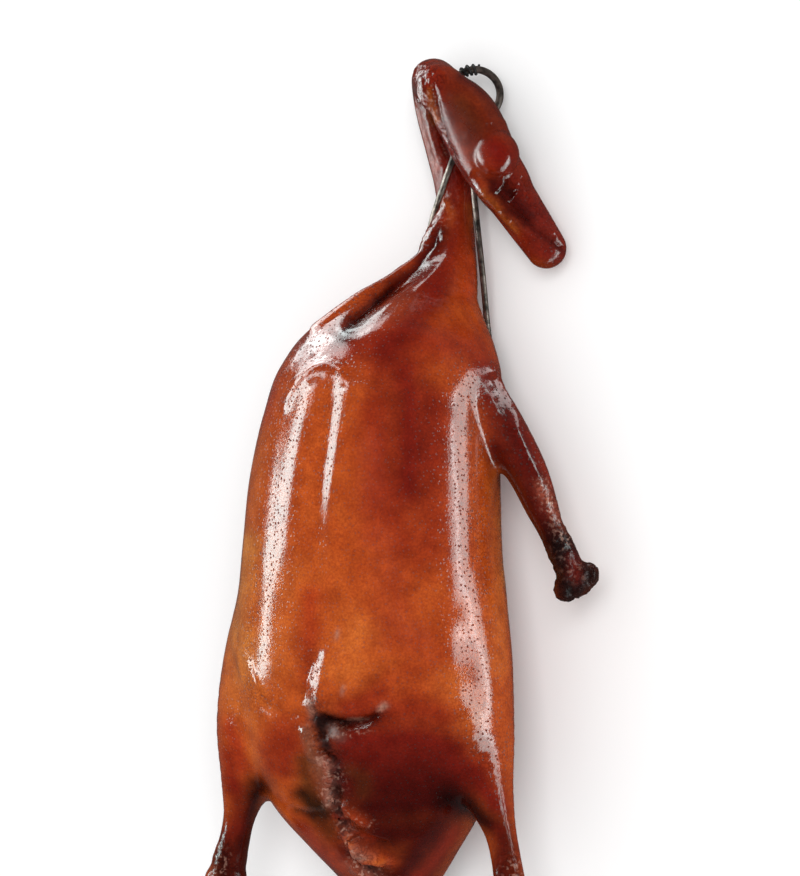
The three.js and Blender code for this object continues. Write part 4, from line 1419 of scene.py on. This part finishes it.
@dataclass
class HangingHook:
    """The steel hook: a ring with a wound top, a bound shank and two prongs."""

    ring_middle: tuple[float, float] = (29.2, 297.8)
    ring_radius: float = 14.7
    ring_wire_radius: float = 2.2
    height: float = 38.2
    shank_from: float = math.radians(-102.0)
    shank_end: tuple[float, float] = (25.0, 278.0)
    shank_radius: float = 2.3
    winding_radius: float = 0.85
    steps_per_turn: int = 22
    wound: tuple[float, float] = (math.radians(82.0), math.radians(180.0))
    prong_radius: float = 1.8
    left_prong: tuple[Place, ...] = LEFT_PRONG
    right_prong: tuple[Place, ...] = RIGHT_PRONG

    def on_ring(self, turn: Array) -> Array:
        """Places on the ring's middle line at turns counted from straight across."""
        across = self.ring_middle[0] + self.ring_radius * np.cos(turn)
        y = self.ring_middle[1] + self.ring_radius * np.sin(turn)
        return across[:, None] * ACROSS + y[:, None] * ALONG + self.height * OUT

    def ring(self) -> tuple[Array, Array]:
        """The ring, a round wire carried round a circle."""
        centres = self.on_ring(np.linspace(0.0, 2.0 * math.pi, 96, endpoint=False))
        path = np.column_stack([centres, np.full(len(centres), self.ring_wire_radius)])
        return tube(path, 16, closed=True)

    def winding(self, core: Array, core_radius: float, turns: float) -> tuple[Array, Array]:
        """A thin wire wound round a core: a helix about the core's own line, pressed into it.

        Args:
            core: Points of the core's middle line.
            core_radius: Radius of what it is wound round.
            turns: How many times it goes round.

        Returns:
            Vertices and faces of the wire.
        """
        count = int(turns * self.steps_per_turn)
        at = np.linspace(0.0, len(core) - 1.0, count)
        centre = np.column_stack(
            [np.interp(at, np.arange(len(core)), column) for column in core.T]
        )
        ahead = np.gradient(centre, axis=0)
        ahead /= np.linalg.norm(ahead, axis=1)[:, None]
        side = np.cross(ahead, OUT)
        side /= np.linalg.norm(side, axis=1)[:, None]
        other = np.cross(ahead, side)
        turn = np.linspace(0.0, turns * 2.0 * math.pi, count)[:, None]
        away = core_radius + 0.6 * self.winding_radius
        spots = centre + away * (side * np.cos(turn) + other * np.sin(turn))
        radius = self.winding_radius * (1.0 + 0.25 * mottle(spots, size=2.4, seed=51))
        return tube(np.column_stack([spots, radius]), 8)

    def shank(self) -> tuple[Array, Array]:
        """The two wires that leave the ring together, bound by a thin one."""
        foot = self.on_ring(np.array([self.shank_from]))[0]
        end = shown(*self.shank_end, self.height)
        line = foot + np.linspace(0.0, 1.0, 24)[:, None] * (end - foot)
        path = np.column_stack([line, np.full(len(line), self.shank_radius)])
        return joined([tube(path, 14), self.winding(line, self.shank_radius, turns=5.0)])

    def prong(self, stops: tuple[Place, ...]) -> tuple[Array, Array]:
        """A prong: round wire along its bends, drawn out to a point at its end.

        Args:
            stops: Places along the wire's middle line.

        Returns:
            Vertices and faces of the wire.
        """
        line = smooth_path(np.array(stops), finer=12)
        to_end = np.linalg.norm(line - line[-1], axis=1)
        radius = self.prong_radius * (0.12 + 0.88 * rise(-2.0, 9.0, to_end))
        return tube(np.column_stack([line, radius]), 14)

    def make(self) -> list[bpy.types.Object]:
        """The ring, its sooty winding, and the shank with both prongs."""
        wound = self.on_ring(np.linspace(*self.wound, 40))
        return [
            mesh_object("hook_ring", *self.ring()),
            mesh_object("hook_winding", *self.winding(wound, self.ring_wire_radius, turns=8.0)),
            mesh_object(
                "hook_prongs",
                *joined([self.shank(), self.prong(self.left_prong), self.prong(self.right_prong)]),
            ),
        ]


# Finishes


class Graph:
    """Lays shader nodes in a tree and joins them, so that a finish reads as a recipe."""

    def __init__(self, tree: bpy.types.NodeTree) -> None:
        """Takes the tree to lay nodes in."""
        self.tree = tree

    def add(self, kind: str, inputs: dict | None = None, **settings) -> bpy.types.Node:
        """Adds a node.

        Args:
            kind: The node's type, such as ShaderNodeMath.
            inputs: Socket name or number to a value, or to the socket that feeds it.
            settings: The node's own options.

        Returns:
            The new node.
        """
        node = self.tree.nodes.new(kind)
        for name, value in settings.items():
            setattr(node, name, value)
        for name, value in (inputs or {}).items():
            if isinstance(value, bpy.types.NodeSocket):
                self.tree.links.new(value, node.inputs[name])
            else:
                node.inputs[name].default_value = value
        return node

    def math(self, operation: str, a: float | Socket, b: float | Socket = 0.0) -> Socket:
        """A sum, product or other operation on two values."""
        return self.add("ShaderNodeMath", {0: a, 1: b}, operation=operation).outputs[0]

    def times(self, a: float | Socket, b: float | Socket) -> Socket:
        """Two values multiplied."""
        return self.math("MULTIPLY", a, b)

    def plus(self, a: float | Socket, b: float | Socket) -> Socket:
        """Two values added."""
        return self.math("ADD", a, b)

    def ramp(
        self, value: Socket, low: float, high: float, to_low: float = 0.0, to_high: float = 1.0
    ) -> Socket:
        """A value carried smoothly from the range low to high into to_low to to_high."""
        made = self.add(
            "ShaderNodeMapRange",
            {"Value": value, "From Min": low, "From Max": high, "To Min": to_low, "To Max": to_high},
            interpolation_type="SMOOTHSTEP",
        )
        return made.outputs[0]

    def mix(
        self, share: float | Socket, a: Colour | Socket, b: Colour | Socket, blend: str = "MIX"
    ) -> Socket:
        """Two colours mixed by a share."""
        made = self.add("ShaderNodeMix", {0: share, 6: a, 7: b}, data_type="RGBA", blend_type=blend)
        return made.outputs[2]

    def painted(self, name: str, output: str = "Fac") -> Socket:
        """A value painted on the mesh, or a colour from the output Color."""
        return self.add("ShaderNodeAttribute", attribute_name=name).outputs[output]

    def noise(self, place: Socket, scale: float | Socket, detail: float) -> bpy.types.Node:
        """Soft noise over places."""
        return self.add("ShaderNodeTexNoise", {"Vector": place, "Scale": scale, "Detail": detail})


def effect(name: str, inputs: dict[str, float], outputs: tuple[str, ...]) -> tuple:
    """A new shader node group whose sockets are all plain numbers.

    Args:
        name: The group's name.
        inputs: Input name to its usual value.
        outputs: Names of the outputs.

    Returns:
        The group, a graph to fill it with, the given inputs and the place on the object.
    """
    group = bpy.data.node_groups.new(name, "ShaderNodeTree")
    for label, usual in inputs.items():
        made = group.interface.new_socket(name=label, in_out="INPUT", socket_type="NodeSocketFloat")
        made.default_value = usual
    for label in outputs:
        group.interface.new_socket(name=label, in_out="OUTPUT", socket_type="NodeSocketFloat")
    graph = Graph(group)
    given = graph.add("NodeGroupInput").outputs
    return group, graph, given, graph.add("ShaderNodeTexCoord").outputs["Object"]


def pored_skin_effect() -> bpy.types.NodeTree:
    """Roast bird skin: small domes in a net of creases, feather pores in raised rims, and grain.

    Height is in millimetres. The domes are small cells and the net is their edges, a pore is a
    pit round the middle of each larger cell, and the grain is fine noise.
    """
    group, graph, given, place = effect(
        "pored_skin",
        {"Net Width": 0.0021, "Pore Spacing": 0.0025, "Net Depth": 0.1, "Pore Depth": 0.35, "Grain": 0.05},
        ("Height", "Pores", "Net"),
    )
    sway = graph.noise(place, 260.0, 2.0).outputs["Color"]
    bent = graph.add("ShaderNodeVectorMath", {0: sway, 1: (0.5, 0.5, 0.5)}, operation="SUBTRACT")
    bent = graph.add("ShaderNodeVectorMath", {0: bent.outputs[0], "Scale": 0.0022}, operation="SCALE")
    bent = graph.add("ShaderNodeVectorMath", {0: place, 1: bent.outputs[0]}, operation="ADD").outputs[0]
    net_scale = graph.math("DIVIDE", 1.0, given["Net Width"])
    cells = graph.add(
        "ShaderNodeTexVoronoi",
        {"Vector": bent, "Scale": net_scale, "Randomness": 0.85},
        feature="DISTANCE_TO_EDGE",
    )
    net = graph.ramp(cells.outputs["Distance"], 0.0, 0.16, 1.0, 0.0)
    domes = graph.ramp(cells.outputs["Distance"], 0.0, 0.42)
    pore_scale = graph.math("DIVIDE", 1.0, given["Pore Spacing"])
    pits = graph.add(
        "ShaderNodeTexVoronoi", {"Vector": bent, "Scale": pore_scale, "Randomness": 0.7}, feature="F1"
    )
    pore = graph.ramp(pits.outputs["Distance"], 0.12, 0.32, 1.0, 0.0)
    rim = graph.ramp(pits.outputs["Distance"], 0.22, 0.55, 1.0, 0.0)
    height = graph.times(graph.noise(place, 1500.0, 3.0).outputs["Fac"], given["Grain"])
    height = graph.plus(height, graph.times(domes, given["Net Depth"]))
    height = graph.math("SUBTRACT", height, graph.times(pore, given["Pore Depth"]))
    height = graph.plus(height, graph.times(rim, graph.times(given["Pore Depth"], 0.06)))
    graph.add("NodeGroupOutput", {"Height": height, "Pores": pore, "Net": net})
    return group


def crinkled_flesh_effect() -> bpy.types.NodeTree:
    """Shrivelled skin and torn flesh: sharp crinkles, their creases and pale flecks on them.

    Height is in millimetres. A crinkle is noise folded at its middle value, so that it has
    sharp creases, and finer noise lies on it.
    """
    group, graph, given, place = effect(
        "crinkled_flesh", {"Width": 0.0034, "Depth": 0.4}, ("Height", "Creases", "Flecks")
    )
    scale = graph.math("DIVIDE", 1.0, given["Width"])
    noise = graph.noise(place, scale, 3.0).outputs["Fac"]
    folded = graph.math("ABSOLUTE", graph.math("SUBTRACT", noise, 0.5))
    height = graph.times(graph.times(folded, 4.0), given["Depth"])
    creases = graph.ramp(folded, 0.0, 0.07, 1.0, 0.0)
    specks = graph.noise(place, graph.times(scale, 1.7), 2.0).outputs["Fac"]
    flecks = graph.ramp(specks, 0.54, 0.68)
    graph.add("NodeGroupOutput", {"Height": height, "Creases": creases, "Flecks": flecks})
    return group


def mottling_effect() -> bpy.types.NodeTree:
    """Uneven tone: patches and specks, as one value from 0 to 1 each."""
    group, graph, given, place = effect(
        "mottling", {"Patch Width": 0.012, "Speck Width": 0.0014}, ("Patches", "Specks")
    )
    made = []
    for width, detail in (("Patch Width", 3.0), ("Speck Width", 2.0)):
        scale = graph.math("DIVIDE", 1.0, given[width])
        made.append(graph.ramp(graph.noise(place, scale, detail).outputs["Fac"], 0.3, 0.7))
    graph.add("NodeGroupOutput", {"Patches": made[0], "Specks": made[1]})
    return group


def new_material(name: str) -> tuple[bpy.types.Material, Graph]:
    """An empty material and a graph to fill it with."""
    material = bpy.data.materials.new(name)
    material.use_nodes = True
    material.node_tree.nodes.clear()
    return material, Graph(material.node_tree)


@dataclass(frozen=True)
class RoastSkinFinish:
    """Lacquered roast skin over the painted tones."""

    pored_skin: bpy.types.NodeTree
    crinkled_flesh: bpy.types.NodeTree
    mottling: bpy.types.NodeTree
    patch_shade: Colour = (0.62, 0.42, 0.38, 1.0)
    speck_shade: Colour = (0.55, 0.36, 0.3, 1.0)
    # Painted shade for the skin's low net, pore pits and crinkle creases
    net_painted_shade: Colour = (0.45, 0.28, 0.22, 1.0)
    pit_painted_shade: Colour = (0.3, 0.14, 0.1, 1.0)
    crease_painted_shade: Colour = (0.34, 0.2, 0.18, 1.0)
    fleck_colour: Colour = (0.5, 0.27, 0.2, 1.0)
    pore_depth: float = 0.12
    lacquer_roughness: float = 0.10
    dull_roughness: float = 0.55
    bend: float = 1.55

    def material(self) -> bpy.types.Material:
        """The finish as a material: tints and painted shade laid on the painted tone, and the skin's height.

        Returns:
            The new material.
        """
        made, graph = new_material("lacquered_roast_skin")
        pores = graph.painted("pores")
        crinkle = graph.painted("crinkle")
        skin = graph.add(
            "ShaderNodeGroup",
            {"Net Depth": 0.02, "Pore Depth": graph.times(pores, self.pore_depth), "Grain": 0.003},
            node_tree=self.pored_skin,
        ).outputs
        flesh = graph.add(
            "ShaderNodeGroup", {"Width": 0.0042, "Depth": 0.3}, node_tree=self.crinkled_flesh
        ).outputs
        spots = graph.add("ShaderNodeGroup", node_tree=self.mottling).outputs
        pitted = graph.times(skin["Pores"], graph.times(pores, 0.62))
        # Painted shade: the net of creases, the pore pits and the crinkles' creases are darkened
        shades = (
            (graph.times(spots["Patches"], 0.55), self.patch_shade),
            (graph.times(spots["Specks"], 0.5), self.speck_shade),
            (graph.times(skin["Net"], graph.times(pores, 0.45)), self.net_painted_shade),
            (pitted, self.pit_painted_shade),
            (graph.times(flesh["Creases"], graph.times(crinkle, 0.75)), self.crease_painted_shade),
        )
        colour = graph.painted("tone", "Color")
        for share, shade in shades:
            colour = graph.mix(share, colour, shade, "MULTIPLY")
        flecks = graph.times(flesh["Flecks"], graph.times(graph.painted("torn"), 0.6))
        colour = graph.mix(flecks, colour, self.fleck_colour)
        rough = graph.ramp(
            graph.painted("gloss"), 0.0, 1.0, self.dull_roughness, self.lacquer_roughness
        )
        rough = graph.plus(rough, graph.times(spots["Specks"], 0.06))
        rough = graph.plus(rough, graph.times(pitted, 1.1))
        height = graph.plus(skin["Height"], graph.times(flesh["Height"], crinkle))
        bump = graph.add("ShaderNodeBump", {"Strength": 1.0, "Distance": 0.001, "Height": height})
        shader = graph.add(
            "ShaderNodeBsdfPrincipled",
            {
                "Base Color": colour,
                "Roughness": rough,
                "IOR": self.bend,
                "Normal": bump.outputs["Normal"],
            },
        )
        graph.add("ShaderNodeOutputMaterial", {"Surface": shader.outputs["BSDF"]})
        return made


@dataclass(frozen=True)
class HookSteelFinish:
    """Dark used steel, or the same under soot."""

    mottling: bpy.types.NodeTree
    name: str = "dark_steel"
    dark: Colour = (0.06, 0.05, 0.045, 1.0)
    bright: Colour = (0.4, 0.31, 0.27, 1.0)
    metallic: float = 0.9
    roughness: float = 0.3

    def material(self) -> bpy.types.Material:
        """The finish as a material: bright and dark patches, and specks that are rough and raised.

        Returns:
            The new material.
        """
        made, graph = new_material(self.name)
        spots = graph.add(
            "ShaderNodeGroup", {"Patch Width": 0.006, "Speck Width": 0.0007}, node_tree=self.mottling
        ).outputs
        colour = graph.mix(spots["Patches"], self.bright, self.dark)
        rough = graph.ramp(spots["Specks"], 0.0, 1.0, self.roughness, self.roughness + 0.2)
        bump = graph.add(
            "ShaderNodeBump", {"Strength": 0.5, "Distance": 0.0002, "Height": spots["Specks"]}
        )
        shader = graph.add(
            "ShaderNodeBsdfPrincipled",
            {
                "Base Color": colour,
                "Metallic": self.metallic,
                "Roughness": rough,
                "Normal": bump.outputs["Normal"],
            },
        )
        graph.add("ShaderNodeOutputMaterial", {"Surface": shader.outputs["BSDF"]})
        return made


# Studio


@dataclass(frozen=True)
class SoftLight:
    """A rectangular light in the part's frame, its length laid along `along`.

    A glossy one shows only as a highlight, and another only lights what is matt.
    """

    name: str
    at: Place
    toward: Place
    width: float
    length: float
    radiance: float
    along: Place = (0.0, 1.0, 0.0)
    red: float = 1.0
    glossy: bool = True

    def place(self) -> bpy.types.Object:
        """Makes the light. Its power is its radiance times pi times its area.

        Returns:
            The light's object.
        """
        data = bpy.data.lights.new(self.name, "AREA")
        data.shape = "RECTANGLE"
        data.size = self.width * MM
        data.size_y = self.length * MM
        data.energy = self.radiance * math.pi * data.size * data.size_y
        data.color = (self.red, 1.0, 1.0)
        light = bpy.data.objects.new(self.name, data)
        bpy.context.scene.collection.objects.link(light)
        at = np.array(self.at)
        back = at - np.array(self.toward)
        back /= np.linalg.norm(back)
        side = np.cross(self.along, back)
        side /= np.linalg.norm(side)
        up = np.cross(back, side)
        turned = Matrix(np.column_stack([side, up, back]).tolist()).to_4x4()
        turned.translation = tuple(at * MM)
        light.matrix_world = turned
        light.visible_camera = False
        light.visible_diffuse = not self.glossy
        light.visible_glossy = self.glossy
        return light


LIGHTS = (
    SoftLight("front_fill", (1520.0, 897.6, 3660.6), (-17.5, 94.8, 60.0), 2000.0, 2000.0, 5.1, glossy=False),
    SoftLight("left_strip", (-790.0, 370.0, 405.0), (-30.0, 240.0, 170.0), 240.0, 700.0, 11.0, red=0.74),
    SoftLight("left_tail", (-790.0, -90.0, 395.0), (-30.0, -90.0, 160.0), 120.0, 220.0, 11.0, red=0.74),
    SoftLight("ridge_panel", (-430.0, 480.0, 90.0), (0.0, 212.0, 37.0), 160.0, 220.0, 5.0, red=0.9),
    SoftLight(
        "crest_panel", (-155.0, 480.0, 60.0), (-60.0, 190.0, 55.0), 90.0, 130.0, 4.5, (1.0, 0.0, 0.0), 0.9
    ),
    SoftLight("wing_panel", (126.6, 168.8, 14.0), (153.6, 117.8, 31.0), 90.0, 28.0, 3.0, (0.0, 0.0, 1.0)),
    SoftLight("upper_panel", (-790.0, 900.0, 640.0), (-30.0, 340.0, 300.0), 300.0, 330.0, 7.0, red=0.85),
    SoftLight(
        "shoulder_panel",
        (-206.0, 380.0, 90.0),
        (-67.0, 243.0, 488.0),
        354.0,
        151.0,
        5.0,
        along=(0.82, 0.48, 0.0),
        red=0.9,
    ),
    SoftLight(
        "head_panel", (-60.0, 214.0, 118.0), (40.0, 276.0, 54.0), 70.0, 110.0, 6.0, (0.4, -0.9, 0.0), 0.9
    ),
    SoftLight(
        "right_panel", (302.8, -3.8, 90.3), (257.5, 43.9, 279.1), 292.0, 420.0, 5.4, (0.0, 1.0, 0.1), 0.74
    ),
    SoftLight("right_edge", (430.0, -20.0, 42.0), (75.0, -20.0, 90.0), 30.0, 500.0, 6.0),
)


@dataclass(frozen=True)
class Studio:
    """Pale floor, soft lights and the camera that sees what the photograph shows."""

    pixel: float = 0.585
    picture: tuple[int, int] = (800, 876)
    aim: Place = (-15.2, 94.8, 60.0)
    distance: float = 2200.0
    floor_half: float = 4000.0
    sensor: float = 36.0
    floor_white: Colour = (0.95, 0.95, 0.95, 1.0)
    floor_in_shine: Colour = (0.08, 0.08, 0.08, 1.0)
    sky_strength: float = 0.86
    sky_in_shine: float = 0.03
    lights: tuple[SoftLight, ...] = LIGHTS

    def floor(self) -> bpy.types.Object:
        """A wide plain pale floor just under the duck, dark where a highlight would show it.

        Returns:
            The floor's object.
        """
        half = self.floor_half
        corners = np.array([[-half, -half, 0], [half, -half, 0], [half, half, 0], [-half, half, 0.0]])
        piece = mesh_object("floor", corners, np.array([[0, 1, 2, 3]]))
        made, graph = new_material("pale_floor")
        glossy = graph.add("ShaderNodeLightPath").outputs["Is Glossy Ray"]
        white = graph.mix(glossy, self.floor_white, self.floor_in_shine)
        shader = graph.add(
            "ShaderNodeBsdfPrincipled",
            {"Base Color": white, "Roughness": 0.9, "Specular IOR Level": 0.0},
        )
        graph.add("ShaderNodeOutputMaterial", {"Surface": shader.outputs["BSDF"]})
        piece.data.materials.append(made)
        return piece

    def sky(self) -> None:
        """Soft light from all round, which shows only faintly in glossy surfaces."""
        world = bpy.data.worlds.new("soft_surround")
        bpy.context.scene.world = world
        world.use_nodes = True
        world.node_tree.nodes.clear()
        graph = Graph(world.node_tree)
        glossy = graph.add("ShaderNodeLightPath").outputs["Is Glossy Ray"]
        strength = graph.ramp(glossy, 0.0, 1.0, self.sky_strength, self.sky_in_shine)
        back = graph.add("ShaderNodeBackground", {"Color": (1.0, 1.0, 1.0, 1.0), "Strength": strength})
        graph.add("ShaderNodeOutputWorld", {"Surface": back.outputs[0]})

    def camera(self) -> bpy.types.Object:
        """A long lens square to the shown side, the neck upwards.

        Returns:
            The camera's object.
        """
        data = bpy.data.cameras.new("photo_camera")
        data.sensor_width = self.sensor
        data.lens = self.sensor * self.distance / (self.pixel * max(self.picture))
        data.clip_end = 50.0
        camera = bpy.data.objects.new("photo_camera", data)
        bpy.context.scene.collection.objects.link(camera)
        turned = Matrix(np.column_stack([ACROSS, ALONG, OUT]).tolist()).to_4x4()
        across, y, out = self.aim
        turned.translation = tuple(shown(across, y, out + self.distance) * MM)
        camera.matrix_world = turned
        bpy.context.scene.camera = camera
        return camera

    def make(self) -> None:
        """Sets up everything that isn't part of the object."""
        self.floor()
        self.sky()
        for light in self.lights:
            light.place()
        self.camera()
        bpy.context.scene.view_settings.view_transform = "Standard"


def report(piece: bpy.types.Object) -> None:
    """Logs a piece's size and face count.

    Args:
        piece: A finished piece.
    """
    low, high = np.array(piece.bound_box).min(axis=0), np.array(piece.bound_box).max(axis=0)
    size = ", ".join(f"{side / MM:.1f}" for side in high - low)
    log.info("%s: %d faces, %s mm", piece.name, len(piece.data.polygons), size)


def main() -> None:
    """Builds the duck, the hook and the studio."""
    logging.basicConfig(level=logging.INFO, format="%(message)s")
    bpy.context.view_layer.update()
    mottling = mottling_effect()
    skin_effects = (pored_skin_effect(), crinkled_flesh_effect(), mottling)

    duck = RoastDuck().make()
    duck.data.materials.append(RoastSkinFinish(*skin_effects).material())
    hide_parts("duck")
    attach(duck, "root")
    report(duck)

    steel = HookSteelFinish(mottling).material()
    sooty = HookSteelFinish(
        mottling,
        name="sooty_steel",
        dark=(0.012, 0.01, 0.01, 1.0),
        bright=(0.04, 0.036, 0.034, 1.0),
        metallic=0.3,
        roughness=0.5,
    ).material()
    ring, winding, prongs = HangingHook().make()
    for piece, finish in ((ring, steel), (winding, sooty), (prongs, steel)):
        piece.data.materials.append(finish)
        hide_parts("hook")
        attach(piece, "root")
        report(piece)

    Studio().make()


if __name__ == "__main__":
    main()
